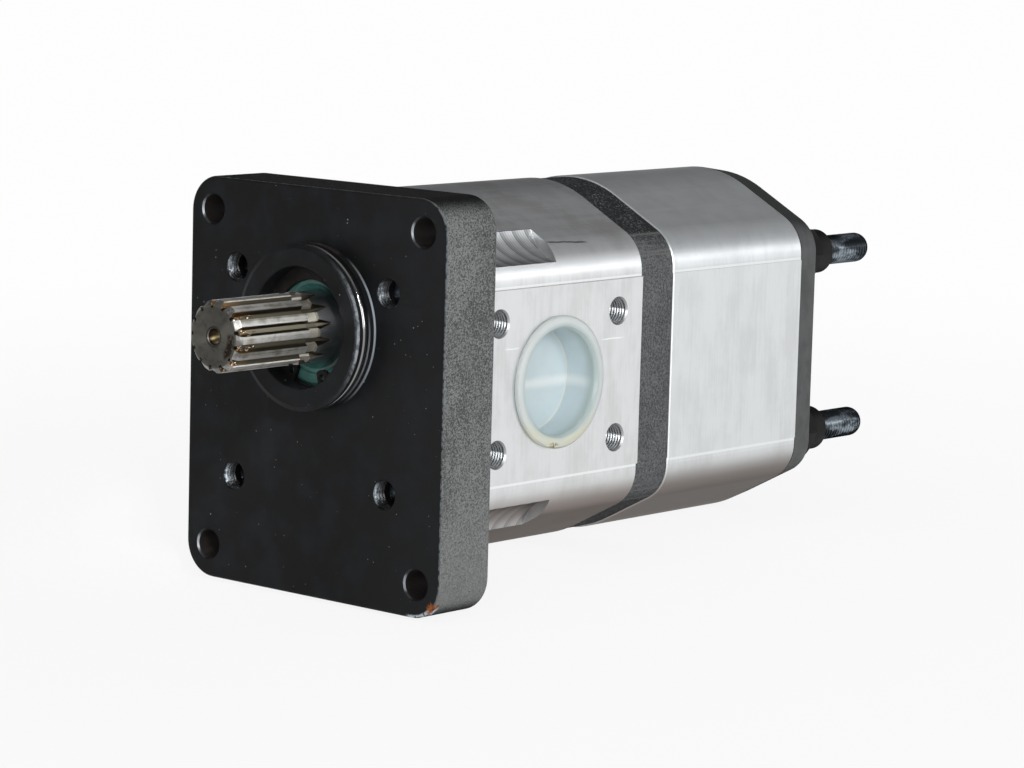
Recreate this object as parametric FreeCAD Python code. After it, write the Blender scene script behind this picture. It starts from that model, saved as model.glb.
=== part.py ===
import FreeCAD, Part
import math
import os

from FreeCAD import Vector

# Tandem external gear pump with a splined drive shaft, in millimetres.
# The origin lies on the drive shaft's axis, in the front face of the mounting flange.
# +Y runs along the shaft into the pump, +X points to the suction side and +Z is up.

# Gears and shafts
gear_centre_distance = 35.0
gear_teeth = 12
gear_pressure_angle = 27.0
gear_backlash = 0.14
gear_root_depth = 1.2
gear_tip_clearance = 0.06
journal_radius = 11.0
running_clearance = 0.03
gear_end_clearance = 0.05

# Positions along the shaft
flange_thickness = 22.5
front_body_length = 80.1
plate_thickness = 15.7
rear_body_length = 67.8
cover_thickness = 10.3
bearing_block_length = 22.0

# Cross-section that the bodies, the plate and the cover share
body_half_width = 43.8
dome_radius = 40.2
shoulder_slope = 28.0
shoulder_radius = 13.75
body_edge_chamfer = 0.35
plate_inset = 0.45
cover_draft_inset = 1.5
cover_edge_radius = 1.0
pad_height = 0.65
rear_pad_height = 0.25
pad_top_above_centre = 30.0
pad_bottom_below_centre = 29.5

# Mounting flange
flange_width = 107.0
flange_height = 125.5
flange_centre_z = -20.5
flange_corner_radius = 11.0
flange_front_edge_radius = 0.8
flange_rear_edge_radius = 1.5
mounting_edge_x = 9.5
mounting_edge_z = 10.25
mounting_hole_radius = 4.5
mounting_hole_chamfer = 0.5
pilot_radius = 25.4
pilot_height = 7.2
pilot_chamfer_width = 1.5
pilot_chamfer_height = 0.6
ring_groove_front = 5.3
ring_groove_width = 2.9
ring_groove_depth = 2.3
pilot_ring_squeeze = 0.05

# Shaft seal in the flange
seal_bore_radius = 18.5
seal_bore_chamfer = 0.25
seal_front = 0.3
seal_width = 8.0
seal_fit = 0.03
seal_wall = 1.9
seal_web = 2.6
seal_lip_thickness = 2.2
seal_lip_clearance = 0.05
seal_face_radius = 17.3
seal_ridge_radius = 14.4
seal_ridge_depth = 0.45
seal_cone_radius = 13.0
seal_cone_depth = 1.5
seal_lip_end_gap = 1.2
seal_lip_end_relief = 0.6
seal_lip_cone = 1.0
seal_lip_root_relief = 0.9
seal_dust_lip = 0.4
garter_radius = 0.7
garter_from_back = 2.4
drain_chamber_radius = 15.0
drain_chamber_depth = 5.5
shaft_hole_radius = 12.2
clip_thickness = 1.5
clip_gap_below_seal = 0.1
clip_groove_depth = 0.9
clip_width_at_back = 4.3
clip_width_at_gap = 2.6
clip_lug_radius = 2.5
clip_lug_from_bore = 2.5
clip_eye_radius = 1.1
clip_eye_from_gap = 6.8
clip_gap_degrees = 33.0
clip_gap_centre = -95.5

# Splined end of the drive shaft
spline_teeth = 13
spline_radius = 10.9
spline_root_radius = 9.15
spline_gap_half_width_at_root = 0.57
spline_flank_angle = 30.0
spline_front = -42.1
spline_end_chamfer = 1.5
relief_start = -12.7
relief_end = -8.6
relief_radius = 10.1
run_out_end = -3.6
spline_phase = 12.3
centre_hole_radius = 2.6
centre_hole_depth = 4.5
journal_chamfer = 0.8

# Coupling between the two sections
tang_radius = 8.0
tang_half_flat = 6.0
tang_length = 6.8
coupling_radius = 13.0
coupling_end_gap = 0.8
coupling_play = 0.1
coupling_bore_radius = 14.2

# Tie bolts, in left and right pairs whose spacings differ
right_bolt_x = 30.3
right_bolt_spacing = 60.4
left_bolt_x = -33.2
left_bolt_spacing = 65.0
bolt_radius = 5.0
bolt_shank_radius = 4.6
bolt_hole_radius = 5.25
thread_clearance = 0.05
bolt_front_end = 6.0
bolt_tip = 237.3
bolt_front_chamfer = 1.0
bolt_tip_round = 3.6
bolt_tip_flat = 2.25
bolt_thread_gap = 0.2
tapped_hole_radius = 4.5
tapped_hole_depth = 5.8
tapped_hole_chamfer = 0.2
washer_radius = 9.4
washer_thickness = 2.0
nut_across_flats = 16.0
nut_hex_height = 7.0
nut_collar_radius = 7.4
nut_collar_height = 6.4
nut_cone_height = 2.9
nut_cone_drop = 2.0

# Ports
suction_bore_radius = 18.2
suction_bore_depth = 16.0
suction_throat_radius = 13.0
suction_pattern_y = 56.0
suction_pattern_z = 40.0
pressure_bore_radius = 10.0
pressure_pitch_radius = 20.0
port_screw_radius = 4.0
port_screw_depth = 13.0
port_screw_chamfer = 0.5
port_screw_cone = 2.0
suction_channel_x = 14.0
suction_channel_radius = 7.0

# Port plugs
plug_fit = 0.15
plug_wall = 1.5
plug_lip_height = 1.3
suction_plug_lip_radius = 20.6
suction_plug_depth = 12.0
pressure_plug_lip_radius = 12.2
pressure_plug_depth = 9.0
plug_mouth_flare = 0.8
plug_end_chamfer = 0.6
plug_lip_chamfer_height = 0.4
plug_lip_chamfer_width = 0.5

# Bearing blocks, their sleeves and seals
block_fit = 0.04
sleeve_wall = 1.5
sleeve_fit = 0.01
sleeve_inset = 0.6
trap_pocket_half_width = 5.0
trap_pocket_half_height = 3.2
trap_pocket_depth = 1.6
trap_pocket_offset = 6.6
pressure_seal_radius = 17.6
pressure_seal_width = 2.2
pressure_seal_depth = 1.7
pressure_seal_edge_x = 3.0
seal_groove_play = 0.1
backup_share = 0.4
backup_play = 0.02
body_seal_radius = 23.5
body_seal_width = 2.2
body_seal_depth = 1.7

# Dowel pins
dowel_radius = 3.0
dowel_half_length = 6.0
dowel_fit = 0.02
dowel_x = 22.0
dowel_z_from_centre = 42.0

# Milled clearances for the mounting bolts
notch_radius = 12.6
notch_length = 39.5

# Derived positions
body_centre_z = -gear_centre_distance / 2.0
front_body_start = flange_thickness
front_body_end = front_body_start + front_body_length
plate_end = front_body_end + plate_thickness
rear_body_end = plate_end + rear_body_length
cover_end = rear_body_end + cover_thickness
front_port_y = (front_body_start + front_body_end) / 2.0
rear_port_y = (plate_end + rear_body_end) / 2.0
gear_module = gear_centre_distance / gear_teeth
gear_pitch_radius = gear_centre_distance / 2.0
gear_tip_radius = gear_pitch_radius + gear_module - gear_tip_clearance
pocket_radius = gear_pitch_radius + gear_module
sleeve_outer_radius = journal_radius + running_clearance + sleeve_wall
mounting_half_x = flange_width / 2.0 - mounting_edge_x
mounting_half_z = flange_height / 2.0 - mounting_edge_z
pad_face_x = body_half_width + pad_height
front_gear_start = front_body_start + bearing_block_length + gear_end_clearance
front_gear_end = front_body_end - bearing_block_length - gear_end_clearance
rear_gear_start = plate_end + bearing_block_length + gear_end_clearance
rear_gear_end = rear_body_end - bearing_block_length - gear_end_clearance
gear_axes = ((0.0, 0.0), (0.0, -gear_centre_distance))
nut_top = (cover_end + washer_thickness + nut_hex_height + nut_collar_height
           + nut_cone_height)


def bolt_places():
    """Centres (x, z) of the four tie bolts."""
    places = []
    for x, spacing in ((right_bolt_x, right_bolt_spacing), (left_bolt_x, left_bolt_spacing)):
        places.append((x, body_centre_z + spacing / 2.0))
        places.append((x, body_centre_z - spacing / 2.0))
    return places


def dowel_places():
    """Centres (x, z) of the two dowels in each joint face."""
    return ((dowel_x, body_centre_z + dowel_z_from_centre),
            (-dowel_x, body_centre_z - dowel_z_from_centre))


def mounting_places():
    """Centres (x, z) of the four corner holes of the flange."""
    places = []
    for x_side in (-1.0, 1.0):
        for z_side in (-1.0, 1.0):
            places.append((x_side * mounting_half_x, flange_centre_z + z_side * mounting_half_z))
    return places


def rod(x, z, start, end, radius):
    """Cylinder parallel to the shaft."""
    return Part.makeCylinder(radius, end - start, Vector(x, start, z), Vector(0, 1, 0))


def cross_rod(start, end, y, z, radius):
    """Cylinder parallel to X, from start to end, in either direction."""
    side = 1.0 if end > start else -1.0
    return Part.makeCylinder(radius, abs(end - start), Vector(start, y, z), Vector(side, 0, 0))


def turned(points, x=0.0, z=0.0):
    """Solid turned about an axis parallel to the shaft, from points (radius, y)."""
    corners = [Vector(x + radius, y, z) for radius, y in points]
    wire = Part.makePolygon(corners + corners[:1])
    return Part.Face(wire).revolve(Vector(x, 0, z), Vector(0, 1, 0), 360)


def turned_across(points, side, y, z):
    """Solid turned about an axis parallel to X, from points (radius, distance outwards)."""
    corners = [Vector(side * x, y + radius, z) for radius, x in points]
    wire = Part.makePolygon(corners + corners[:1])
    return Part.Face(wire).revolve(Vector(0, y, z), Vector(1, 0, 0), 360)


def prism(wire, length):
    """Closed wire swept along the shaft."""
    return Part.Face(wire).extrude(Vector(0, length, 0))


def chamfered_hole(x, z, start, end, radius, chamfer):
    """Cutter for a hole with a countersunk mouth at both ends."""
    points = [(0, start - chamfer), (radius + 2 * chamfer, start - chamfer), (radius, start + chamfer),
              (radius, end - chamfer), (radius + 2 * chamfer, end + chamfer), (0, end + chamfer)]
    return turned(points, x, z)


def joined(shapes):
    """One shape fused from several."""
    first = shapes[0]
    return first.multiFuse(shapes[1:]) if len(shapes) > 1 else first


def body_outline(y, inset=0.0):
    """Closed outline of a body: domes about both gear axes, sloped shoulders and flat sides."""
    slope = math.radians(shoulder_slope)
    half = body_half_width - inset
    dome = dome_radius - inset
    corner = shoulder_radius - inset
    dome_x = dome * math.sin(slope)
    dome_z = dome * math.cos(slope)
    meet_z = dome_z - (half - dome_x) * math.tan(slope)
    cut = corner * math.tan((math.pi / 2 - slope) / 2)
    middle = (slope + math.pi / 2) / 2
    arc_z = meet_z - cut + corner * math.cos(middle)
    arc_x = half - corner + corner * math.sin(middle)

    def at(x, z, lower):
        return Vector(x, y, 2 * body_centre_z - z if lower else z)

    edges = []
    for lower in (False, True):
        arc = Part.Arc(at(-dome_x, dome_z, lower), at(0, dome, lower), at(dome_x, dome_z, lower))
        edges.append(arc.toShape())
        for side in (-1.0, 1.0):
            shoulder = at(side * (half - cut * math.cos(slope)), meet_z + cut * math.sin(slope), lower)
            flat_end = at(side * half, meet_z - cut, lower)
            edges.append(Part.LineSegment(at(side * dome_x, dome_z, lower), shoulder).toShape())
            edges.append(Part.Arc(shoulder, at(side * arc_x, arc_z, lower), flat_end).toShape())
    for side in (-1.0, 1.0):
        flat = Part.LineSegment(at(side * half, meet_z - cut, False), at(side * half, meet_z - cut, True))
        edges.append(flat.toShape())
    return Part.Wire(Part.__sortEdges__(edges))


def rounded_rectangle(y, width, height, centre_z, radius):
    """Closed rectangle with round corners."""
    half_x = width / 2 - radius
    half_z = height / 2 - radius
    diagonal = radius / math.sqrt(2)
    edges = []
    for side in (-1.0, 1.0):
        top = centre_z + side * (half_z + radius)
        edges.append(Part.LineSegment(Vector(-half_x, y, top), Vector(half_x, y, top)).toShape())
        wall = side * (half_x + radius)
        low_end = Vector(wall, y, centre_z - half_z)
        high_end = Vector(wall, y, centre_z + half_z)
        edges.append(Part.LineSegment(low_end, high_end).toShape())
        for up in (-1.0, 1.0):
            middle = Vector(side * (half_x + diagonal), y, centre_z + up * (half_z + diagonal))
            start = Vector(wall, y, centre_z + up * half_z)
            end = Vector(side * half_x, y, centre_z + up * (half_z + radius))
            edges.append(Part.Arc(start, middle, end).toShape())
    return Part.Wire(Part.__sortEdges__(edges))


def stadium(y, radius):
    """Closed loop at one distance from the line between the gear axes."""
    low = -gear_centre_distance
    edges = [Part.Arc(Vector(-radius, y, 0), Vector(0, y, radius), Vector(radius, y, 0)).toShape(),
             Part.LineSegment(Vector(radius, y, 0), Vector(radius, y, low)).toShape(),
             Part.Arc(Vector(radius, y, low), Vector(0, y, low - radius), Vector(-radius, y, low)).toShape(),
             Part.LineSegment(Vector(-radius, y, low), Vector(-radius, y, 0)).toShape()]
    return Part.Wire(edges)


def stadium_band(start, end, inner, outer):
    """Flat ring of stadium shape."""
    return prism(stadium(start, outer), end - start).cut(prism(stadium(start, inner), end - start))


def twin_bore(start, end, radius):
    """Two overlapping cylinders on the gear axes."""
    return joined([rod(x, z, start, end, radius) for x, z in gear_axes])


def bolt_holes(start, end, radius):
    """Cylinders on the four tie bolts."""
    return [rod(x, z, start, end, radius) for x, z in bolt_places()]


def dowel_holes(face):
    """Cylinders for the dowels that cross one joint face."""
    reach = dowel_half_length + dowel_fit
    return [rod(x, z, face - reach, face + reach, dowel_radius + dowel_fit) for x, z in dowel_places()]


def involute_angle(angle):
    """Involute of a pressure angle, in radians."""
    return math.tan(angle) - angle


def gear_outline(axis, y, first_tooth):
    """Closed outline of a spur gear: each flank is an arc through three points of its involute."""
    pressure = math.radians(gear_pressure_angle)
    base = gear_pitch_radius * math.cos(pressure)
    root = gear_pitch_radius - gear_root_depth * gear_module
    half_at_pitch = math.pi / (2 * gear_teeth) - gear_backlash / (2 * gear_pitch_radius)

    def half_angle(radius):
        return half_at_pitch + involute_angle(pressure) - involute_angle(math.acos(min(1.0, base / radius)))

    def point(radius, angle):
        return Vector(axis[0] + radius * math.cos(angle), y, axis[1] + radius * math.sin(angle))

    middle = (base + gear_tip_radius) / 2
    foot = half_angle(base)
    tip = half_angle(gear_tip_radius)
    step = 2 * math.pi / gear_teeth
    edges = []
    for number in range(gear_teeth):
        centre = math.radians(first_tooth) + number * step
        for side in (-1.0, 1.0):
            low = point(base, centre + side * foot)
            flank = Part.Arc(low, point(middle, centre + side * half_angle(middle)),
                             point(gear_tip_radius, centre + side * tip))
            edges.append(flank.toShape())
            edges.append(Part.LineSegment(point(root, centre + side * foot), low).toShape())
        land = Part.Arc(point(gear_tip_radius, centre - tip), point(gear_tip_radius, centre),
                        point(gear_tip_radius, centre + tip))
        edges.append(land.toShape())
        valley = Part.Arc(point(root, centre + foot), point(root, centre + step / 2),
                          point(root, centre + step - foot))
        edges.append(valley.toShape())
    return Part.Wire(Part.__sortEdges__(edges))


def gear(axis, start, end, first_tooth):
    """Toothed part of a gear."""
    return prism(gear_outline(axis, start, first_tooth), end - start)


def tang(start, end):
    """Round shaft end with two flats, which the coupling turns."""
    blank = rod(0, 0, start, end, tang_radius)
    slab = Part.makeBox(2 * tang_half_flat, end - start, 2 * tang_radius,
                        Vector(-tang_half_flat, start, -tang_radius))
    return blank.common(slab)


def spline_gap(number):
    """Cutter for one gap between spline teeth, with a run-out that rises to a point."""
    outer = spline_radius + 1.0
    spread = math.tan(math.radians(spline_flank_angle))
    half_root = spline_gap_half_width_at_root
    half_outer = half_root + (outer - spline_root_radius) * spread
    half_tip = half_root * 0.2

    def section(y, low, half_low, half_high):
        corners = [Vector(low, y, -half_low), Vector(outer, y, -half_high),
                   Vector(outer, y, half_high), Vector(low, y, half_low)]
        return Part.makePolygon(corners + corners[:1])

    front = spline_front - 1.0
    straight = Part.Face(section(front, spline_root_radius, half_root, half_outer))
    straight = straight.extrude(Vector(0, relief_end - front, 0))
    near = section(relief_end, spline_root_radius, half_root, half_outer)
    half_far = half_tip + (outer - journal_radius) * spread
    far = section(run_out_end, journal_radius - 0.05, half_tip, half_far)
    cutter = straight.fuse(Part.makeLoft([near, far], True, True))
    angle = spline_phase + number * 360.0 / spline_teeth
    cutter.rotate(Vector(0, 0, 0), Vector(0, 1, 0), -angle)
    return cutter


def drive_shaft():
    """Splined input shaft with the front drive gear and the tang that turns the coupling."""
    end = front_body_end
    chamfer = spline_end_chamfer
    profile = [(0, spline_front + centre_hole_depth),
               (centre_hole_radius * 0.45, spline_front + centre_hole_depth * 0.6),
               (centre_hole_radius, spline_front), (spline_radius - chamfer, spline_front),
               (spline_radius, spline_front + chamfer), (spline_radius, relief_start),
               (relief_radius, relief_start), (relief_radius, relief_end),
               (journal_radius, relief_end), (journal_radius, end), (0, end)]
    shaft = turned(profile)
    shaft = shaft.cut(Part.makeCompound([spline_gap(number) for number in range(spline_teeth)]))
    teeth = gear(gear_axes[0], front_gear_start, front_gear_end, 90.0)
    return joined([shaft, teeth, tang(end, end + tang_length)])


def driven_gear(gear_start, gear_end, start, end):
    """Idler gear with its two journals, half a tooth out of phase with the drive gear."""
    x, z = gear_axes[1]
    teeth = gear(gear_axes[1], gear_start, gear_end, 90.0 + 180.0 / gear_teeth)
    chamfer = journal_chamfer
    journals = turned([(0, start), (journal_radius - chamfer, start), (journal_radius, start + chamfer),
                       (journal_radius, end - chamfer), (journal_radius - chamfer, end), (0, end)], x, z)
    return teeth.fuse(journals)


def rear_drive_gear():
    """Drive gear of the rear section, with the tang that the coupling turns."""
    start = plate_end
    end = rear_body_end - sleeve_inset
    chamfer = journal_chamfer
    journals = turned([(0, start), (journal_radius, start), (journal_radius, end - chamfer),
                       (journal_radius - chamfer, end), (0, end)])
    teeth = gear(gear_axes[0], rear_gear_start, rear_gear_end, 90.0)
    return joined([journals, teeth, tang(start - tang_length, start)])


def shaft_coupling():
    """Sleeve that joins the two drive gears inside the plate."""
    start = front_body_end + coupling_end_gap
    end = plate_end - coupling_end_gap
    sleeve = rod(0, 0, start, end, coupling_radius)
    bore = rod(0, 0, start, end, tang_radius + coupling_play)
    half = tang_half_flat + coupling_play
    slab = Part.makeBox(2 * half, end - start, 4 * tang_radius, Vector(-half, start, -2 * tang_radius))
    return sleeve.cut(bore.common(slab))


def tapped_hole(x, z):
    """Cutter for a through hole of the flange: narrow in front and the shank's size behind."""
    narrow = tapped_hole_radius
    mouth = narrow + tapped_hole_chamfer
    wide = bolt_shank_radius + thread_clearance
    return turned([(0, -1), (mouth, -1), (mouth, 0), (narrow, tapped_hole_chamfer),
                   (narrow, tapped_hole_depth), (wide, tapped_hole_depth),
                   (wide, flange_thickness + 1), (0, flange_thickness + 1)], x, z)


def mounting_flange():
    """Front flange with its pilot collar, seal bore and bolt holes."""
    outline = rounded_rectangle(0, flange_width, flange_height, flange_centre_z, flange_corner_radius)
    slab = prism(outline, flange_thickness)
    front = [edge for edge in slab.Edges if edge.BoundBox.YMax < 1e-6]
    slab = slab.makeFillet(flange_front_edge_radius, front)
    rear = [edge for edge in slab.Edges if edge.BoundBox.YMin > flange_thickness - 1e-6]
    slab = slab.makeFillet(flange_rear_edge_radius, rear)
    groove_end = -ring_groove_front + ring_groove_width
    groove_floor = pilot_radius - ring_groove_depth
    collar = turned([(0, 1.0), (0, -pilot_height), (pilot_radius - pilot_chamfer_width, -pilot_height),
                     (pilot_radius, -pilot_height + pilot_chamfer_height), (pilot_radius, -ring_groove_front),
                     (groove_floor, -ring_groove_front), (groove_floor, groove_end),
                     (pilot_radius, groove_end), (pilot_radius, 1.0)])
    flange = slab.fuse(collar)
    seal_shoulder = seal_front + seal_width
    chamber_end = seal_shoulder + drain_chamber_depth
    clip_end = seal_front - clip_gap_below_seal
    clip_start = clip_end - clip_thickness
    groove = seal_bore_radius + clip_groove_depth
    mouth = seal_bore_radius + seal_bore_chamfer
    bore = turned([(0, -pilot_height - 1), (mouth, -pilot_height - 1), (mouth, -pilot_height),
                   (seal_bore_radius, -pilot_height + seal_bore_chamfer),
                   (seal_bore_radius, clip_start), (groove, clip_start),
                   (groove, clip_end), (seal_bore_radius, clip_end), (seal_bore_radius, seal_shoulder),
                   (drain_chamber_radius, seal_shoulder), (drain_chamber_radius, chamber_end),
                   (shaft_hole_radius, chamber_end), (shaft_hole_radius, flange_thickness + 1),
                   (0, flange_thickness + 1)])
    cutters = [bore]
    for x, z in mounting_places():
        cutters.append(chamfered_hole(x, z, 0, flange_thickness, mounting_hole_radius, mounting_hole_chamfer))
    for x, z in bolt_places():
        cutters.append(tapped_hole(x, z))
    cutters += dowel_holes(front_body_start)
    return flange.cut(cutters)


def pilot_o_ring():
    """Sealing ring in the collar's groove, drawn squeezed to just below the collar."""
    floor = pilot_radius - ring_groove_depth
    section = (ring_groove_depth - 2 * pilot_ring_squeeze) / 2
    centre_y = -ring_groove_front + ring_groove_width / 2
    radius = floor + pilot_ring_squeeze + section
    return Part.makeTorus(radius, section, Vector(0, centre_y, 0), Vector(0, 1, 0))


def shaft_seal():
    """Lip seal with a grooved front face, a dust lip and a cavity behind for its spring."""
    outer = seal_bore_radius - seal_fit
    lip = journal_radius + seal_lip_clearance
    lip_top = lip + seal_lip_thickness
    back = seal_front + seal_width
    web = seal_front + seal_web
    ridge_half = seal_ridge_depth * 0.8
    cone_end = seal_front + seal_cone_depth
    lip_end = back - seal_lip_end_gap
    ridge = seal_ridge_radius
    return turned([(lip, cone_end), (seal_cone_radius, seal_front), (ridge - ridge_half, seal_front),
                   (ridge, seal_front + seal_ridge_depth), (ridge + ridge_half, seal_front),
                   (seal_face_radius, seal_front), (outer, seal_front + outer - seal_face_radius),
                   (outer, back),
                   (outer - seal_wall, back), (outer - seal_wall, web), (lip_top, web), (lip_top, lip_end),
                   (lip + seal_lip_end_relief, lip_end), (lip, lip_end - seal_lip_cone),
                   (lip + seal_lip_root_relief, web), (lip, cone_end + seal_dust_lip)])


def garter_spring():
    """Closed ring spring that holds the seal's lip on the shaft."""
    lip_top = journal_radius + seal_lip_clearance + seal_lip_thickness
    centre_y = seal_front + seal_width - garter_from_back
    radius = lip_top + garter_radius + seal_fit
    return Part.makeTorus(radius, garter_radius, Vector(0, centre_y, 0), Vector(0, 1, 0))


def seal_retaining_ring():
    """Open spring clip in the seal bore, widest at its back, with an eyed lug at each end."""
    end = seal_front - clip_gap_below_seal
    start = end - clip_thickness
    outer = seal_bore_radius + clip_groove_depth - seal_fit
    inner = seal_bore_radius - (clip_width_at_back + clip_width_at_gap) / 2
    shift = (clip_width_at_back - clip_width_at_gap) / 2
    facing = math.radians(clip_gap_centre)
    hole = rod(shift * math.cos(facing), shift * math.sin(facing), start - 1, end + 1, inner)
    band = rod(0, 0, start, end, outer).cut(hole)
    half = clip_gap_degrees / 2
    inside = rod(0, 0, start, end, seal_bore_radius)
    lug_centre = seal_bore_radius - clip_lug_from_bore
    lugs = []
    eyes = []
    sides = [Vector(0, start, 0)]
    for side in (-1.0, 1.0):
        turn = facing + side * math.radians(half + clip_eye_from_gap)
        x = lug_centre * math.cos(turn)
        z = lug_centre * math.sin(turn)
        lugs.append(rod(x, z, start, end, clip_lug_radius).common(inside))
        eyes.append(rod(x, z, start - 1, end + 1, clip_eye_radius))
        edge = facing + side * math.radians(half)
        sides.append(Vector(2 * outer * math.cos(edge), start, 2 * outer * math.sin(edge)))
    wedge = prism(Part.makePolygon(sides + sides[:1]), clip_thickness)
    return joined([band] + lugs).cut([wedge] + eyes)


def edge_chamfered(solid, start, end):
    """Solid with its outer edges chamfered in both end planes."""
    edges = [edge for edge in solid.Edges if edge.BoundBox.YMax < start + 1e-6]
    edges += [edge for edge in solid.Edges if edge.BoundBox.YMin > end - 1e-6]
    return solid.makeChamfer(body_edge_chamfer, edges)


def side_pad(side, start, end, height):
    """Flat machined face that stands a little proud of a body's side."""
    depth = 4.0
    cut = body_edge_chamfer
    bottom = body_centre_z - pad_bottom_below_centre
    top = body_centre_z + pad_top_above_centre
    root = side * (body_half_width - depth)
    face = side * (body_half_width + height)
    shoulder = side * (body_half_width + height - cut)
    corners = [Vector(root, start, bottom), Vector(shoulder, start, bottom),
               Vector(face, start + cut, bottom),
               Vector(face, end - cut, bottom), Vector(shoulder, end, bottom), Vector(root, end, bottom)]
    outline = Part.Face(Part.makePolygon(corners + corners[:1]))
    return outline.extrude(Vector(0, 0, top - bottom))


def body_seal_groove(face, inwards):
    """Cutter for the seal groove in one end face of a body."""
    half = body_seal_width / 2 + seal_groove_play
    depth = body_seal_depth + seal_groove_play
    start = face if inwards > 0 else face - depth
    return stadium_band(start, start + depth, body_seal_radius - half, body_seal_radius + half)


def blank_body(start, end, height_right, height_left):
    """Body extrusion with its side pads, bores, bolt holes, dowel holes and seal grooves."""
    blank = edge_chamfered(prism(body_outline(start), end - start), start, end)
    blank = joined([blank, side_pad(1.0, start, end, height_right), side_pad(-1.0, start, end, height_left)])
    cutters = [twin_bore(start - 1, end + 1, pocket_radius)]
    cutters += bolt_holes(start - 1, end + 1, bolt_hole_radius)
    cutters += dowel_holes(start) + dowel_holes(end)
    cutters += [body_seal_groove(start, 1.0), body_seal_groove(end, -1.0)]
    return blank, cutters


def port_screw_holes(side, y, places, face):
    """Blind screw holes round a port, with countersunk mouths."""
    holes = []
    for dy, dz in places:
        mouth = port_screw_radius + 2 * port_screw_chamfer
        points = [(0, face + port_screw_chamfer), (mouth, face + port_screw_chamfer),
                  (port_screw_radius, face - port_screw_chamfer),
                  (port_screw_radius, face - port_screw_depth),
                  (0, face - port_screw_depth - port_screw_cone)]
        holes.append(turned_across(points, side, y + dy, body_centre_z + dz))
    return holes


def suction_places():
    """Offsets (y, z) of the suction port's screws."""
    return [(dy * suction_pattern_y / 2, dz * suction_pattern_z / 2) for dy in (-1, 1) for dz in (-1, 1)]


def pressure_places():
    """Offsets (y, z) of a pressure port's screws, on a circle."""
    half = pressure_pitch_radius / math.sqrt(2)
    return [(dy * half, dz * half) for dy in (-1, 1) for dz in (-1, 1)]


def pressure_port(y, face):
    """Cutters for a pressure port on the left side."""
    bore = cross_rod(-face - 1, -gear_module, y, body_centre_z, pressure_bore_radius)
    return [bore] + port_screw_holes(-1.0, y, pressure_places(), face)


def suction_channel(start, end):
    """Cutter for the channel that feeds the rear section."""
    return rod(suction_channel_x, body_centre_z, start, end, suction_channel_radius)


def front_body():
    """Extruded housing of the front section, with the suction port on the right."""
    blank, cutters = blank_body(front_body_start, front_body_end, pad_height, pad_height)
    face = pad_face_x
    y = front_port_y
    cutters.append(cross_rod(face + 1, face - suction_bore_depth, y, body_centre_z, suction_bore_radius))
    cutters.append(cross_rod(face, gear_module, y, body_centre_z, suction_throat_radius))
    cutters += port_screw_holes(1.0, front_port_y, suction_places(), face)
    cutters += pressure_port(front_port_y, face)
    cutters.append(suction_channel(front_port_y, front_body_end + 1))
    top_z = flange_centre_z + mounting_half_z
    for x_side in (-1.0, 1.0):
        for z in (top_z, 2 * body_centre_z - top_z):
            cutters.append(rod(x_side * mounting_half_x, z, front_body_start - 1,
                               front_body_start + notch_length, notch_radius))
    return blank.cut(cutters)


def rear_body():
    """Extruded housing of the rear section, with its pressure port on the left."""
    blank, cutters = blank_body(plate_end, rear_body_end, rear_pad_height, pad_height)
    cutters += pressure_port(rear_port_y, pad_face_x)
    cutters.append(suction_channel(plate_end - 1, rear_port_y + suction_channel_radius))
    return blank.cut(cutters)


def intermediate_plate():
    """Cast plate between the sections, with the coupling bore and the suction channel."""
    blank = prism(body_outline(front_body_end, plate_inset), plate_thickness)
    cutters = [rod(0, 0, front_body_end - 1, plate_end + 1, coupling_bore_radius)]
    cutters += bolt_holes(front_body_end - 1, plate_end + 1, bolt_hole_radius)
    cutters += dowel_holes(front_body_end) + dowel_holes(plate_end)
    cutters.append(suction_channel(front_body_end - 1, plate_end + 1))
    return blank.cut(cutters)


def rear_cover():
    """Cast end cover whose sides lean in towards the back."""
    sections = [body_outline(rear_body_end), body_outline(cover_end, cover_draft_inset)]
    blank = Part.makeLoft(sections, True, True)
    back = [edge for edge in blank.Edges if edge.BoundBox.YMin > cover_end - 1e-4]
    blank = blank.makeFillet(cover_edge_radius, back)
    cutters = bolt_holes(rear_body_end - 1, cover_end + 1, bolt_hole_radius)
    cutters += dowel_holes(rear_body_end)
    return blank.cut(cutters)


def pressure_seal_band(start, end, inner, outer):
    """Seal band that follows both journals on the pressure side, shaped like a figure three."""
    bands = []
    for index, (x, z) in enumerate(gear_axes):
        band = rod(x, z, start, end, outer).cut(rod(x, z, start, end, inner))
        up = 1.0 if index == 0 else -1.0
        low = body_centre_z if up > 0 else body_centre_z - 2 * outer
        reach = 4 * outer
        if up < 0:
            low -= abs(body_centre_z)
        keep = Part.makeBox(reach, end - start, 2 * outer + abs(body_centre_z),
                            Vector(pressure_seal_edge_x - reach, start, low))
        bands.append(band.common(keep))
    return joined(bands)


def bearing_block(start, end, gear_side):
    """Bearing block for both gears: sleeve bores, trap pockets and a groove for the pressure seal."""
    block = twin_bore(start, end, pocket_radius - block_fit)
    cutters = [rod(x, z, start - 1, end + 1, sleeve_outer_radius + sleeve_fit) for x, z in gear_axes]
    pocket_start = end - trap_pocket_depth if gear_side > 0 else start
    for side in (-1.0, 1.0):
        centre_x = side * trap_pocket_offset
        corner = Vector(centre_x - trap_pocket_half_width / 2, pocket_start,
                        body_centre_z - trap_pocket_half_height)
        cutters.append(Part.makeBox(trap_pocket_half_width, trap_pocket_depth, 2 * trap_pocket_half_height,
                                    corner))
    half = pressure_seal_width / 2 + seal_groove_play
    depth = pressure_seal_depth + seal_groove_play
    groove_start = start if gear_side > 0 else end - depth
    cutters.append(pressure_seal_band(groove_start, groove_start + depth,
                                      pressure_seal_radius - half, pressure_seal_radius + half))
    return block.cut(cutters)


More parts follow.
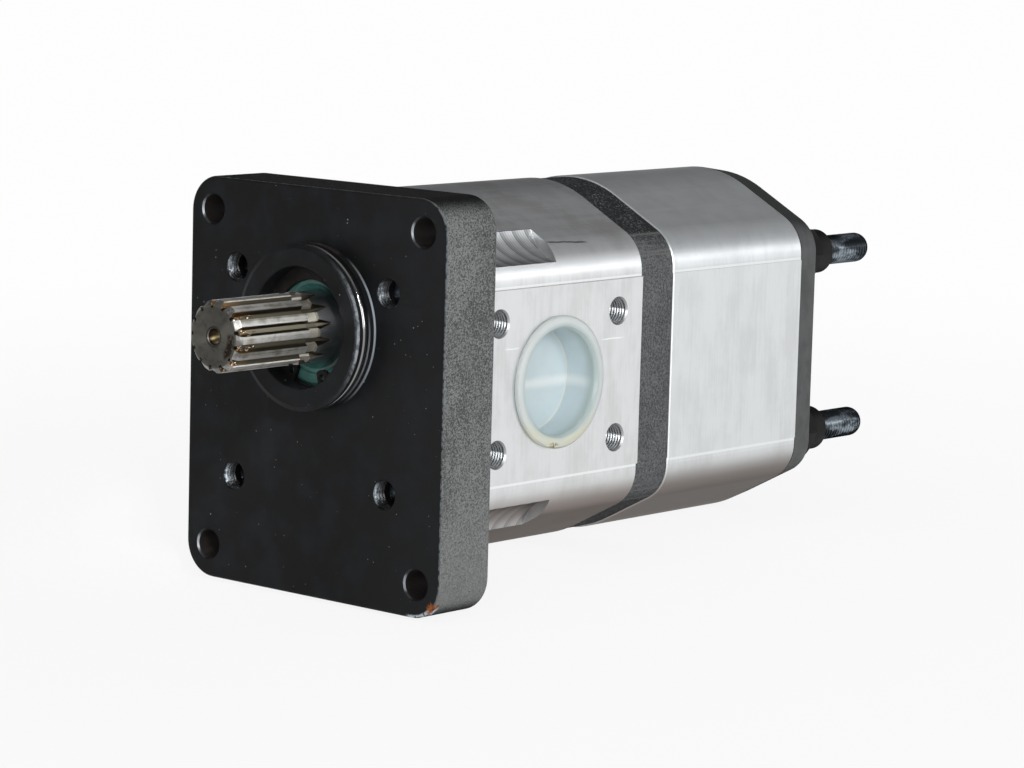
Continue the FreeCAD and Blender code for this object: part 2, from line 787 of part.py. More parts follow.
def block_spans():
    """Start, end and gear side of the four bearing blocks, from front to back."""
    length = bearing_block_length
    return ((front_body_start, front_body_start + length, 1.0),
            (front_body_end - length, front_body_end, -1.0),
            (plate_end, plate_end + length, 1.0),
            (rear_body_end - length, rear_body_end, -1.0))


def bearing_sleeves():
    """Two plain bearing sleeves in each block."""
    sleeves = []
    for start, end, _ in block_spans():
        for x, z in gear_axes:
            outer = rod(x, z, start + sleeve_inset, end - sleeve_inset, sleeve_outer_radius)
            inner = rod(x, z, start, end, journal_radius + running_clearance)
            sleeves.append(outer.cut(inner))
    return Part.makeCompound(sleeves)


def pressure_seals(first_share, last_share):
    """Seal bands in the blocks' outer faces, between two shares of their width."""
    low = pressure_seal_radius - pressure_seal_width / 2
    inner = low + first_share * pressure_seal_width
    outer = low + last_share * pressure_seal_width
    bands = []
    for start, end, gear_side in block_spans():
        groove_start = start if gear_side > 0 else end - pressure_seal_depth
        bands.append(pressure_seal_band(groove_start, groove_start + pressure_seal_depth, inner, outer))
    return Part.makeCompound(bands)


def body_seals():
    """Seal rings in the end faces of both bodies."""
    half = body_seal_width / 2
    rings = []
    for face, inwards in ((front_body_start, 1), (front_body_end, -1), (plate_end, 1), (rear_body_end, -1)):
        start = face if inwards > 0 else face - body_seal_depth
        rings.append(stadium_band(start, start + body_seal_depth, body_seal_radius - half,
                                  body_seal_radius + half))
    return Part.makeCompound(rings)


def tie_bolt(x, z):
    """Long stud from the flange's thread to its round-ended tip behind the cover.

    The shank is as thick as the middle of its thread's teeth, and the free thread behind the
    nut is drawn over its crests.
    """
    start = bolt_front_end
    shank = bolt_shank_radius
    chamfer = bolt_front_chamfer
    thread_start = nut_top + bolt_thread_gap
    round_start = bolt_tip - bolt_tip_round
    corners = [Vector(x, bolt_tip, z), Vector(x, start, z), Vector(x + shank - chamfer, start, z),
               Vector(x + shank, start + chamfer, z), Vector(x + shank, thread_start, z),
               Vector(x + bolt_radius, thread_start + bolt_radius - shank, z),
               Vector(x + bolt_radius, round_start, z)]
    edges = [Part.LineSegment(a, b).toShape() for a, b in zip(corners, corners[1:])]
    middle = Vector(x + bolt_radius * 0.84, bolt_tip - bolt_tip_round * 0.36, z)
    flat_edge = Vector(x + bolt_tip_flat, bolt_tip, z)
    edges.append(Part.Arc(corners[-1], middle, flat_edge).toShape())
    edges.append(Part.LineSegment(flat_edge, corners[0]).toShape())
    return Part.Face(Part.Wire(edges)).revolve(Vector(x, 0, z), Vector(0, 1, 0), 360)


def tie_bolts():
    """The four tie bolts."""
    return Part.makeCompound([tie_bolt(x, z) for x, z in bolt_places()])


def tie_bolt_nut(x, z):
    """Hexagon nut with a round collar that ends in a cone."""
    start = cover_end + washer_thickness
    hex_end = start + nut_hex_height
    collar_end = hex_end + nut_collar_height
    corner = nut_across_flats / math.sqrt(3)
    points = []
    for number in range(6):
        turn = math.radians(60 * number)
        points.append(Vector(x + corner * math.cos(turn), start, z + corner * math.sin(turn)))
    hexagon = prism(Part.makePolygon(points + points[:1]), nut_hex_height)
    bevel = corner - nut_across_flats / 2
    rounded = turned([(0, start), (corner - bevel * 0.6, start), (corner, start + bevel * 0.4),
                      (corner, hex_end - bevel * 0.6), (corner - bevel, hex_end), (0, hex_end)], x, z)
    collar = turned([(0, start), (nut_collar_radius, start), (nut_collar_radius, collar_end),
                     (nut_collar_radius - nut_cone_drop, nut_top), (0, nut_top)], x, z)
    hole = rod(x, z, start - 1, nut_top + 1, bolt_shank_radius + thread_clearance)
    return joined([hexagon.common(rounded), collar]).cut(hole)


def tie_bolt_nuts():
    """Nuts on the tie bolts, behind the cover."""
    return Part.makeCompound([tie_bolt_nut(x, z) for x, z in bolt_places()])


def tie_bolt_washers():
    """Washers between the cover and the nuts."""
    washers = []
    for x, z in bolt_places():
        disc = rod(x, z, cover_end, cover_end + washer_thickness, washer_radius)
        washers.append(disc.cut(rod(x, z, cover_end - 1, cover_end + washer_thickness + 1, bolt_hole_radius)))
    return Part.makeCompound(washers)


def dowel_pins():
    """Two dowels in each joint face between flange, bodies, plate and cover."""
    pins = []
    for face in (front_body_start, front_body_end, plate_end, rear_body_end):
        for x, z in dowel_places():
            pins.append(rod(x, z, face - dowel_half_length, face + dowel_half_length, dowel_radius))
    return Part.makeCompound(pins)


def port_plug(side, y, bore_radius, lip_radius, depth):
    """Hollow push-in plug with a flared mouth and a lip that rests on the port face."""
    face = pad_face_x
    outer = bore_radius - plug_fit
    inner = outer - plug_wall
    lip = face + plug_lip_height
    bottom = face - depth
    return turned_across([(0, bottom), (outer - plug_end_chamfer, bottom), (outer, bottom + plug_end_chamfer),
                          (outer, face), (lip_radius, face), (lip_radius, lip - plug_lip_chamfer_height),
                          (lip_radius - plug_lip_chamfer_width, lip), (inner + plug_mouth_flare, lip),
                          (inner, lip - plug_mouth_flare), (inner, bottom + plug_wall),
                          (0, bottom + plug_wall)],
                         side, y, body_centre_z)


def build():
    """Solids of the pump by node name."""
    front_a, front_b, rear_a, rear_b = [bearing_block(*span) for span in block_spans()]
    return {
        "mounting_flange": mounting_flange(),
        "pilot_o_ring": pilot_o_ring(),
        "shaft_seal": shaft_seal(),
        "seal_garter_spring": garter_spring(),
        "seal_retaining_ring": seal_retaining_ring(),
        "front_body": front_body(),
        "intermediate_plate": intermediate_plate(),
        "rear_body": rear_body(),
        "rear_cover": rear_cover(),
        "drive_shaft": drive_shaft(),
        "front_driven_gear": driven_gear(front_gear_start, front_gear_end, front_body_start + sleeve_inset,
                                         front_body_end - sleeve_inset),
        "shaft_coupling": shaft_coupling(),
        "rear_drive_gear": rear_drive_gear(),
        "rear_driven_gear": driven_gear(rear_gear_start, rear_gear_end, plate_end + sleeve_inset,
                                        rear_body_end - sleeve_inset),
        "front_section_front_block": front_a,
        "front_section_rear_block": front_b,
        "rear_section_front_block": rear_a,
        "rear_section_rear_block": rear_b,
        "bearing_sleeves": bearing_sleeves(),
        "pressure_seals": pressure_seals(0.0, 1.0 - backup_share),
        "pressure_seal_backups": pressure_seals(1.0 - backup_share + backup_play, 1.0),
        "body_seals": body_seals(),
        "tie_bolts": tie_bolts(),
        "tie_bolt_nuts": tie_bolt_nuts(),
        "tie_bolt_washers": tie_bolt_washers(),
        "dowel_pins": dowel_pins(),
        "suction_port_plug": port_plug(1.0, front_port_y, suction_bore_radius, suction_plug_lip_radius,
                                       suction_plug_depth),
        "front_pressure_port_plug": port_plug(-1.0, front_port_y, pressure_bore_radius,
                                              pressure_plug_lip_radius, pressure_plug_depth),
        "rear_pressure_port_plug": port_plug(-1.0, rear_port_y, pressure_bore_radius,
                                             pressure_plug_lip_radius, pressure_plug_depth),
    }


os.makedirs("parts", exist_ok=True)
for name, shape in build().items():
    shape.exportStep("parts/" + name + ".step")
    print(name, "solids", len(shape.Solids), "valid", shape.isValid(), "volume", round(shape.Volume, 1))
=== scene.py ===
"""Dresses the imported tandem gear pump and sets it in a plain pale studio.

Lengths are metres in the row frame: the shaft's axis runs along +Y from the mounting face, the
suction port faces +X and +Z is up.
"""
import logging
import math
from dataclasses import dataclass
from enum import Enum
from typing import Any, Callable, Sequence, Union

import bmesh
import bpy
import numpy as np
from mathutils import Matrix, Vector


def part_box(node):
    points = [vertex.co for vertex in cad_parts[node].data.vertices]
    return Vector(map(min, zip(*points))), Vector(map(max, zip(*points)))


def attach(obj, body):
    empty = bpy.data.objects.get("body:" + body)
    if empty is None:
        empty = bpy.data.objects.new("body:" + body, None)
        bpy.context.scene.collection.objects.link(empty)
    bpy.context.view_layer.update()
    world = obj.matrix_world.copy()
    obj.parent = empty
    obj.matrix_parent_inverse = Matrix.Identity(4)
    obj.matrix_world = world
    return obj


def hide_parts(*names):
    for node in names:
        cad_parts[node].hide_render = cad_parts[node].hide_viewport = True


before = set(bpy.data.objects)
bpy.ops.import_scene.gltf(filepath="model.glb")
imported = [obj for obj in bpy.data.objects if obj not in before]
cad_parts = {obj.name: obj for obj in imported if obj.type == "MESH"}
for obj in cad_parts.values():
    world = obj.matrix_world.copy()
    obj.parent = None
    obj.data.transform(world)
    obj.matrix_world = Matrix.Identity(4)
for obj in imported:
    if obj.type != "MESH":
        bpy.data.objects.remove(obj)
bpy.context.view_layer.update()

log = logging.getLogger("pump")

Colour = tuple[float, float, float]
Span = tuple[float, float]
Material = bpy.types.Material
Object = bpy.types.Object
Socket = bpy.types.NodeSocket
Place = Sequence[float]

HOUSING = "housing"
DRIVE_LINE = "drive_line"
MIDDLE_Z = -0.0175
PORT_FACE = 0.04445
FRONT_PORT_Y = 0.06255
REAR_PORT_Y = 0.1522
SHAFT_FRONT = -0.0421
TEETH = 13
TOOTH_PHASE = 12.3


class Along(Enum):
    """The row axis that a hole or a turned piece points along, as its outward direction."""

    FRONT = (0.0, -1.0, 0.0)
    REAR = (0.0, 1.0, 0.0)
    RIGHT = (1.0, 0.0, 0.0)
    LEFT = (-1.0, 0.0, 0.0)


class Streak(Enum):
    """How a surface's fine lines lie, as the stretch of the pattern along X, Y and Z."""

    UPRIGHT = (1.0, 1.0, 0.06)
    TALL = (1.0, 1.0, 0.3)
    BOLT = (1.0, 0.35, 1.0)
    LENGTHWISE = (1.0, 0.012, 1.0)
    NONE = (1.0, 1.0, 1.0)


def arithmetic(operation: str, swapped: bool = False) -> Callable[..., "Field"]:
    """Makes a method that joins two values by one arithmetic node.

    Args:
        operation: Blender's name of the operation.
        swapped: whether the other value comes first.

    Returns:
        The method.
    """
    def method(self: "Field", other: "Value" = 0.0) -> "Field":
        """The result of the operation."""
        first, second = (other, self) if swapped else (self, other)
        return self.graph.output("Math", 0, {0: first, 1: second}, operation=operation)
    return method


class Field:
    """A value or a colour that varies over a surface, with plain arithmetic on it."""

    def __init__(self, graph: "Graph", socket: Socket) -> None:
        """Wraps a node's output."""
        self.graph, self.socket = graph, socket

    __add__ = arithmetic("ADD")
    __sub__ = arithmetic("SUBTRACT")
    __rsub__ = arithmetic("SUBTRACT", swapped=True)
    __mul__ = arithmetic("MULTIPLY")
    __truediv__ = arithmetic("DIVIDE")
    __pow__ = arithmetic("POWER")
    __abs__ = arithmetic("ABSOLUTE")
    larger = arithmetic("MAXIMUM")
    smaller = arithmetic("MINIMUM")
    root = arithmetic("SQRT")
    sine = arithmetic("SINE")
    cosine = arithmetic("COSINE")
    sign = arithmetic("SIGN")
    fraction = arithmetic("FRACT")
    angle_over = arithmetic("ARCTAN2")
    below = arithmetic("LESS_THAN")

    def band(self, low: float, high: float, start: float = 0.0, end: float = 1.0,
             shape: str = "SMOOTHSTEP") -> "Field":
        """This value's rise from start to end while it goes from low to high, smooth by default."""
        limits = {"From Min": low, "From Max": high, "To Min": start, "To Max": end}
        return self.graph.output("MapRange", "Result", {"Value": self, **limits}, interpolation_type=shape)

    def fall(self, low: float, high: float) -> "Field":
        """A smooth fall from one to zero while this value goes from low to high."""
        return self.band(low, high, 1.0, 0.0)

    def window(self, low: float, high: float, soft: float) -> "Field":
        """One while this value lies between low and high and zero outside, with soft borders."""
        return self.band(low - soft, low + soft) * self.fall(high - soft, high + soft)

    def parts(self) -> list["Field"]:
        """A vector's three components."""
        return [Field(self.graph, part) for part in self.graph.node("SeparateXYZ", {0: self}).outputs]


Value = Union[float, Place, Field]


def dimmed(colour: Colour, share: float) -> Colour:
    """A colour times a share."""
    return tuple(part * share for part in colour)


class Graph:
    """A node tree whose nodes are added by short calls."""

    def __init__(self, tree: bpy.types.NodeTree) -> None:
        """Takes the tree."""
        self.nodes, self.links = tree.nodes, tree.links

    def feed(self, target: Socket, value: Value) -> None:
        """Sets or joins an input, whichever the value calls for, and gives a plain colour full opacity.

        Args:
            target: the input.
            value: a number, a vector, a colour or a field.
        """
        if isinstance(value, Field):
            self.links.new(value.socket, target)
        else:
            target.default_value = (*value, 1.0) if target.type == "RGBA" else value

    def node(self, kind: str, inputs: dict[Union[int, str], Value], **settings: Any) -> bpy.types.Node:
        """Adds a node.

        Args:
            kind: Blender's name of its type, less the usual start.
            inputs: what each of its inputs gets.
            **settings: its own settings.

        Returns:
            The node.
        """
        node = self.nodes.new(f"ShaderNode{kind}")
        for name, value in settings.items():
            setattr(node, name, value)
        for name, value in inputs.items():
            self.feed(node.inputs[name], value)
        return node

    def output(self, kind: str, name: Union[int, str], inputs: dict[Union[int, str], Value],
               **settings: Any) -> Field:
        """Adds a node and returns one of its outputs, given by its name or number."""
        return Field(self, self.node(kind, inputs, **settings).outputs[name])


class Shader(Graph):
    """One procedural material that ends in a Principled shader."""

    def __init__(self, name: str, colour: Colour, roughness: float, metallic: float = 0.0) -> None:
        """Starts the material.

        Args:
            name: the material's name.
            colour: its plain linear colour.
            roughness: its plain roughness.
            metallic: one for bare metal and zero for anything else.
        """
        self.material = bpy.data.materials.new(name)
        self.material.use_nodes = True
        super().__init__(self.material.node_tree)
        self.surface = self.nodes["Principled BSDF"]
        coordinates = self.nodes.new("ShaderNodeTexCoord")
        self.place = Field(self, coordinates.outputs["Object"])
        self.x, self.y, self.z = self.place.parts()
        self.face_x, self.face_y, self.face_z = Field(self, coordinates.outputs["Normal"]).parts()
        self.give({"Base Color": colour, "Roughness": roughness, "Metallic": metallic})

    @property
    def above(self) -> Field:
        """Height above the middle of the bodies."""
        return self.z - MIDDLE_Z

    def give(self, values: dict[str, Value]) -> None:
        """Sets or joins the Principled shader's own sockets."""
        for socket, value in values.items():
            self.feed(self.surface.inputs[socket], value)

    def finish(self, colour: Field, rough: Field, height: Field, depth: float,
               strength: float = 1.0) -> Material:
        """Joins the colour, the roughness and a relief to the shader.

        Args:
            colour: the base colour.
            rough: the roughness.
            height: the relief's height, between zero and one.
            depth: its full range in metres.
            strength: how strongly it shades.

        Returns:
            The finished material.
        """
        relief = self.output("Bump", "Normal", {"Distance": depth, "Strength": strength, "Height": height})
        self.give({"Base Color": colour, "Roughness": rough, "Normal": relief})
        return self.material

    def stretched(self, stretch: Place, centre: Place = (0.0, 0.0, 0.0)) -> Field:
        """Object coordinates less a centre, scaled along each axis.

        Args:
            stretch: the scale along each axis.
            centre: the centre.

        Returns:
            The coordinates.
        """
        shift = [-c * s for c, s in zip(centre, stretch)]
        inputs = {"Scale": stretch, "Location": shift, "Vector": self.place}
        return self.output("Mapping", "Vector", inputs, vector_type="POINT")

    def reach(self, stretch: Place = (1.0, 0.0, 1.0), centre: Place = (0.0, 0.0, 0.0)) -> Field:
        """Distance from a line through the centre, along the axis whose stretch is zero."""
        return self.output("VectorMath", "Value", {0: self.stretched(stretch, centre)}, operation="LENGTH")

    def noise(self, size: float, detail: float = 3.0, rough: float = 0.55,
              streak: Streak = Streak.NONE) -> Field:
        """Grain of about a given size.

        Args:
            size: the grain's size in metres.
            detail: its octaves.
            rough: how strong the finer octaves are.
            streak: how the grain is drawn out.

        Returns:
            A value round one half.
        """
        place = self.stretched(streak.value)
        inputs = {"Scale": 1.0 / size, "Detail": detail, "Roughness": rough, "Vector": place}
        return self.output("TexNoise", "Fac", inputs)

    def specks(self, spacing: float, radius: float, share: float) -> Field:
        """Scattered round specks: one inside a speck and zero outside.

        Args:
            spacing: the distance between cells that may hold a speck, in metres.
            radius: a speck's radius in metres.
            share: the part of the cells that hold one.

        Returns:
            The mask.
        """
        cells = self.node("TexVoronoi", {"Scale": 1.0 / spacing, "Vector": self.place}).outputs
        inside = Field(self, cells["Distance"]).fall(0.4 * radius / spacing, radius / spacing)
        return inside * Field(self, cells["Color"]).parts()[0].below(share)

    def mix(self, factor: Field, first: Union[Colour, Field], second: Union[Colour, Field]) -> Field:
        """A colour between two colours."""
        return self.output("Mix", 2, {"Factor": factor, 6: first, 7: second}, data_type="RGBA")

    def layers(self, base: Union[Colour, Field], *coats: tuple[Field, Union[Colour, Field]]) -> Field:
        """A colour with coats laid over it in turn, each where its mask is one.

        Args:
            base: the colour beneath.
            *coats: each coat's mask and colour.

        Returns:
            The colour.
        """
        for mask, coat in coats:
            base = self.mix(mask, base, coat)
        return base

    def cast_grain(self, size: float, wide_size: float) -> tuple[Field, Field, Field, Field]:
        """Fine, finer and wide grain of a cast skin, and the speckle that they make together.

        Args:
            size: the fine grain's size.
            wide_size: the wide grain's size.

        Returns:
            The four fields.
        """
        fine = self.noise(size, 3.0, 0.7)
        finer = self.noise(size * 0.5, 2.0, 0.6)
        wide = self.noise(wide_size)
        return fine, finer, wide, fine * 0.6 + finer * 0.25 + wide * 0.15


@dataclass(frozen=True)
class BodyAluminium:
    """Extruded aluminium: fine lines along the body, and upright brush marks on the flat sides."""

    name: str
    colour: Colour = (0.735, 0.75, 0.755)
    dull: Colour = (0.645, 0.65, 0.65)
    smeared: Colour = (0.56, 0.555, 0.55)
    # The next colour is a painted reflection on faces that look down, darker and browner than the metal.
    grime_and_painted_reflection: Colour = (0.36, 0.325, 0.305)
    edge_tint: Colour = (0.13, 0.13, 0.135)
    # Colour of the painted highlights along the pad's steps.
    step: Colour = (0.95, 0.97, 0.98)
    # Colour of the painted shade on the sloping chamfers round the pad's holes.
    pad_lip: Colour = (0.30, 0.31, 0.32)
    # Colour of the painted highlight on the marked body's shoulders.
    shoulder: Colour = (0.92, 0.94, 0.95)
    scuffed: Colour = (0.93, 0.95, 0.95)
    scored: Colour = (0.04, 0.04, 0.04)
    milled: Colour = (0.20, 0.21, 0.22)
    brush_size: float = 0.0011
    line_size: float = 0.0020
    blotch_size: float = 0.016
    cloud_size: float = 0.007
    grain_size: float = 0.0005
    brush_depth: float = 0.000012
    painted_reflection_from: float = 0.0
    pad_edge: Span = (0.0255, 0.0265)
    step_above: Span = (0.0300, 0.0309)
    step_below: Span = (0.0295, 0.0304)
    front_scuff: Span = (0.0375, 0.0435)
    rear_scuff: Span = (0.083, 0.093)
    score_span: Span = (0.0625, 0.080)
    score_x: float = 0.0337
    notch_axis: Span = (0.044, 0.0495)
    notch_wall: Span = (0.0122, 0.0128)
    notch_end: Span = (0.0617, 0.0619)
    mill_bend: float = 42.0
    mill_pitch: float = 0.0058
    marked: bool = False

    def material(self) -> Material:
        """Builds the material, with painted highlights along the pad's steps and a painted reflection on
        faces that look down; a marked body also gets the port's scuffs, a painted highlight on its shoulders,
        painted shade on the pad's chamfers, the score and the mill marks.

        Returns:
            The material.
        """
        shade = Shader(self.name, self.colour, 0.36, 1.0)
        shade.give({"Specular Tint": self.edge_tint})
        flat = abs(shade.face_x).band(0.985, 0.999)
        brushed = shade.noise(self.brush_size, 4.0, 0.6, Streak.UPRIGHT)
        drawn = shade.noise(self.line_size, 3.0, 0.6, Streak.LENGTHWISE)
        blotch = shade.noise(self.blotch_size, 5.0, 0.62)
        cloud = shade.noise(self.cloud_size, 4.0, 0.55, Streak.TALL)
        lines = flat * (brushed - drawn) + drawn
        soiled = (lines * 0.22 + blotch * 0.38 + cloud * 0.40).band(0.42, 0.62)
        smears = (drawn * 0.35 + blotch * 0.65).band(0.47, 0.64) * shade.face_z.band(0.48, 0.85, 0.0, 0.8)
        # Painted reflection: faces that look down are darkened towards a brown grey.
        painted_underside = shade.face_z.fall(-0.58, self.painted_reflection_from)
        colour = shade.layers(self.colour, (soiled, self.dull), (smears, self.smeared),
                              (self.painted_step_highlight(shade) * 0.7, self.step), (painted_underside, self.grime_and_painted_reflection))
        rough = lines * 0.10 + blotch * 0.10 + 0.29
        height = lines + shade.noise(self.grain_size, 2.0) * 0.4
        if self.marked:
            # Painted shade: sloping faces round the pad's holes are darkened.
            lip = abs(shade.face_x).window(0.2, 0.93, 0.03) * abs(shade.above).fall(*self.pad_edge)
            # Painted highlight: faces that tilt a little upwards are lightened.
            shoulder = shade.face_z.window(0.10, 0.50, 0.08)
            scuffs = self.scuffs(shade) * flat
            score = self.score_mark(shade)
            milled = self.mill_marks(shade)
            colour = shade.layers(colour, (lip * 0.8, self.pad_lip), (shoulder * 0.6, self.shoulder),
                                  (scuffs, self.scuffed), (score, self.scored), (milled * 0.75, self.milled))
            rough = rough + scuffs * 0.2 + score * 0.25
            height = height - score * 3.0 + milled * 4.0
        return shade.finish(colour, rough, height, self.brush_depth)

    def painted_step_highlight(self, shade: Shader) -> Field:
        """Painted highlights: thin bright lines where the side face steps up to the port pad, above and below
        it.

        Args:
            shade: the shader that is being drawn.

        Returns:
            The mask.
        """
        upper = shade.above.window(*self.step_above, 0.0002)
        lower = (shade.above * -1.0).window(*self.step_below, 0.0002)
        return upper.larger(lower) * abs(shade.face_x).band(0.5, 0.8)

    def scuffs(self, shade: Shader) -> Field:
        """Two short light scuffs beside the port, where something rubbed along the face.

        Args:
            shade: the shader that is being drawn.

        Returns:
            The mask.
        """
        wander = (shade.noise(0.004, 2.0) - 0.5) * 0.0008
        line = abs(shade.z + wander + shade.y * 0.008 + 0.0053).fall(0.00008, 0.00035)
        stretch = shade.y.window(*self.front_scuff, 0.0012).larger(shade.y.window(*self.rear_scuff, 0.0015))
        return line * stretch * 0.8

    def score_mark(self, shade: Shader) -> Field:
        """Thin dark score along the upper right shoulder, which wanders a little and fades out.

        Args:
            shade: the shader that is being drawn.

        Returns:
            The mask.
        """
        drift = (shade.noise(0.006, 2.0) - 0.5) * 0.0006
        width = abs(shade.x + drift + shade.y * -0.069 - self.score_x).fall(0.0001, 0.0004)
        length = shade.y.window(*self.score_span, 0.002)
        return width * length * (shade.face_z.band(0.5, 0.8) * 0.9)

    def mill_marks(self, shade: Shader) -> Field:
        """The curved marks that the cutter left on the milled notches' round walls.

        They lie along curves whose distance from the body's front end grows with the square of the
        height below the notch's axis, and each is dark at its start.

        Args:
            shade: the shader that is being drawn.

        Returns:
            The mask.
        """
        x = abs(shade.x) - self.notch_axis[0]
        z = abs(shade.above) - self.notch_axis[1]
        wall = (x ** 2.0 + z ** 2.0).root().window(*self.notch_wall, 0.0002) * shade.y.fall(*self.notch_end)
        phase = (shade.y + z ** 2.0 * -self.mill_bend) / self.mill_pitch
        passed = phase.fraction()
        fine = (phase * 32.0).sine().band(-0.6, 1.0, 0.0, 0.3)
        return wall * (passed.band(0.0, 0.05) * passed.fall(0.05, 0.75) * 0.7 + fine)


@dataclass(frozen=True)
class FlangeCoating:
    """Black coated iron: smooth dark machined faces, speckled cast sides, painted shade on the faces that
    look up or down, and edges worn light with painted highlights where they face right.
    """

    name: str = "coated_flange"
    node: str = "mounting_flange"
    corner_radius: float = 0.011
    black: Colour = (0.0038, 0.0040, 0.0043)
    bluish: Colour = (0.0075, 0.0085, 0.0102)
    right_face: Colour = (0.014, 0.0147, 0.016)
    pit: Colour = (0.058, 0.061, 0.062)
    grain: Colour = (0.232, 0.238, 0.236)
    hole_wall: Colour = (0.019, 0.0155, 0.0150)
    # Colour of rounded edges that face right: partly rubbed paint, partly painted highlight.
    rounding: Colour = (0.150, 0.170, 0.185)
    # Colour of the worn bevels, which also serves as their painted highlight.
    bevel: Colour = (0.48, 0.52, 0.56)
    dust: Colour = (0.34, 0.36, 0.35)
    rust: Colour = (0.30, 0.095, 0.028)
    dark_rust: Colour = (0.055, 0.018, 0.008)
    grain_size: float = 0.00062
    relief_depth: float = 0.00030
    collar_radius: float = 0.0256
    bore_radius: float = 0.0246
    foot_ring: Span = (0.02530, 0.02575)
    groove_ring: Span = (0.0250, 0.0256)
    groove_edge: Span = (-0.00245, -0.00205)
    hole_from: float = 0.040
    bare_x: Span = (0.0410, 0.0525)
    bare_z: Span = (-0.0800, -0.0785)
    rust_x: Span = (0.0488, 0.0526)
    rust_z: Span = (-0.0785, -0.0767)

    def outline_gap(self, shade: Shader) -> Field:
        """Distance to the flange's outline, a rectangle with round corners, and negative inside it.

        The point's distances beyond the straight part of each side are found first. The outline's
        distance is the length of their positive parts, plus their largest value where both are
        negative, less the corner's radius.

        Args:
            shade: the shader that is being drawn.

        Returns:
            The distance.
        """
        low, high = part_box(self.node)
        half_x, _, half_z = ((b - a) / 2.0 - self.corner_radius for a, b in zip(low, high))
        x = abs(shade.x) - half_x
        z = abs(shade.z - (high[2] + low[2]) / 2.0) - half_z
        corner = (x.larger(0.0) ** 2.0 + z.larger(0.0) ** 2.0).root()
        return corner + x.larger(z).smaller(0.0) - self.corner_radius

    def material(self) -> Material:
        """Builds the material.

        Returns:
            The material.
        """
        shade = Shader(self.name, self.black, 0.42)
        gap = self.outline_gap(shade)
        radius = shade.reach()
        facing = abs(shade.face_y)
        walled = facing.fall(0.3, 0.6)
        # Painted shade: faces that look up or down are darkened almost to black and made rougher.
        top = abs(shade.face_z).band(0.5, 0.95)
        skin = gap.band(-0.0009, -0.0003) * facing.fall(0.55, 0.9)
        fine, finer, wide, speckle = shade.cast_grain(self.grain_size, 0.012)
        side = shade.layers(self.pit, (speckle.band(0.41, 0.60), self.grain),
                            (shade.z.band(-0.080, -0.030, 0.45, 0.0), self.grain),
                            (shade.specks(0.0016, 0.00028, 0.35) * 0.85, self.black),
                            (top * 0.97, dimmed(self.pit, 0.05)))
        walls = self.by_corner_holes(shade) * (walled * gap.fall(-0.0018, -0.0012))
        # Rounded edges that face right are lightened: partly rubbed paint, partly painted highlight.
        roll = gap.window(-0.0008, -0.00012, 0.00012) * facing.window(0.25, 0.93, 0.06)
        rubbed = roll * shade.noise(0.0016).band(0.36, 0.60) * shade.face_x.band(0.15, 0.45)
        bevel = facing.window(0.6, 0.965, 0.03) * gap.fall(-0.0016, -0.0011)
        # Worn bevels with a painted highlight, kept where they face right.
        worn = bevel * shade.noise(0.0035, 2.0).band(0.30, 0.50, 0.55, 1.0) * self.worn_and_highlit_bevels(shade, radius)
        # The bare sliver at the corner is real wear; the rings at the collar's foot are painted highlights.
        worn = worn.larger(self.bare_edge(shade, gap) * 0.9).larger(self.foot_lines(shade, radius))
        dust = self.dust_mask(shade)
        rust, deep = self.rust_mask(shade, gap)
        colour = shade.layers(self.black, (wide.band(0.42, 0.68), self.bluish),
                              (shade.x.band(0.0, 0.055, 0.0, 0.5), self.right_face), (walls, self.hole_wall),
                              (skin, side), (rubbed, self.rounding), (worn, self.bevel), (dust, self.dust),
                              (rust, shade.mix(deep, self.rust, self.dark_rust)))
        shade.give({"Specular IOR Level": 0.10, "Metallic": worn * 0.85})
        bore = radius.fall(self.bore_radius, self.bore_radius + 0.0004) * walled
        rough = skin * 0.16 + wide * 0.10 + worn * -0.14 + 0.38 + bore * 0.4 + top * 0.4
        height = skin * (fine + finer * 0.4) + finer * 0.03 + dust * 0.3
        return shade.finish(colour, rough, height, self.relief_depth, 0.9)

    def by_corner_holes(self, shade: Shader) -> Field:
        """One at the height of the corner holes, above and below."""
        return abs(shade.above).band(self.hole_from, self.hole_from + 0.001)

    def worn_and_highlit_bevels(self, shade: Shader, radius: Field) -> Field:
        """Where bevels are worn and lit by a painted highlight: those of the collar and the corner holes that
        face right.

        Args:
            shade: the shader that is being drawn.
            radius: distance from the shaft's axis.

        Returns:
            The mask.
        """
        collar = radius.fall(self.collar_radius, self.collar_radius + 0.0004)
        collar = collar * abs(shade.z - 0.003).band(0.004, 0.021, 1.0, 0.12) * shade.face_z.band(-0.60, -0.25)
        mottle = shade.noise(0.0017, 3.0, 0.6).band(0.38, 0.56, 0.30, 1.0)
        collar = collar * mottle * radius.band(0.0243, 0.0248, 0.08, 0.62)
        inner = radius.band(0.0225, 0.0235, 0.75, 0.0)
        holes = self.by_corner_holes(shade) * 0.55 * abs(shade.face_z).band(0.20, 0.48, 1.0, 0.1)
        return shade.face_x.band(0.10, 0.42) * (collar - inner).larger(holes)

    def dust_mask(self, shade: Shader) -> Field:
        """Small pale specks on the front face, thicker in some patches than in others.

        Args:
            shade: the shader that is being drawn.

        Returns:
            The mask.
        """
        patch = shade.noise(0.026, 2.0).band(0.40, 0.62, 0.12, 1.0)
        grains = shade.specks(0.0040, 0.00030, 0.40).larger(shade.specks(0.0022, 0.00018, 0.34))
        return grains * patch * shade.y.fall(0.0004, 0.0010)

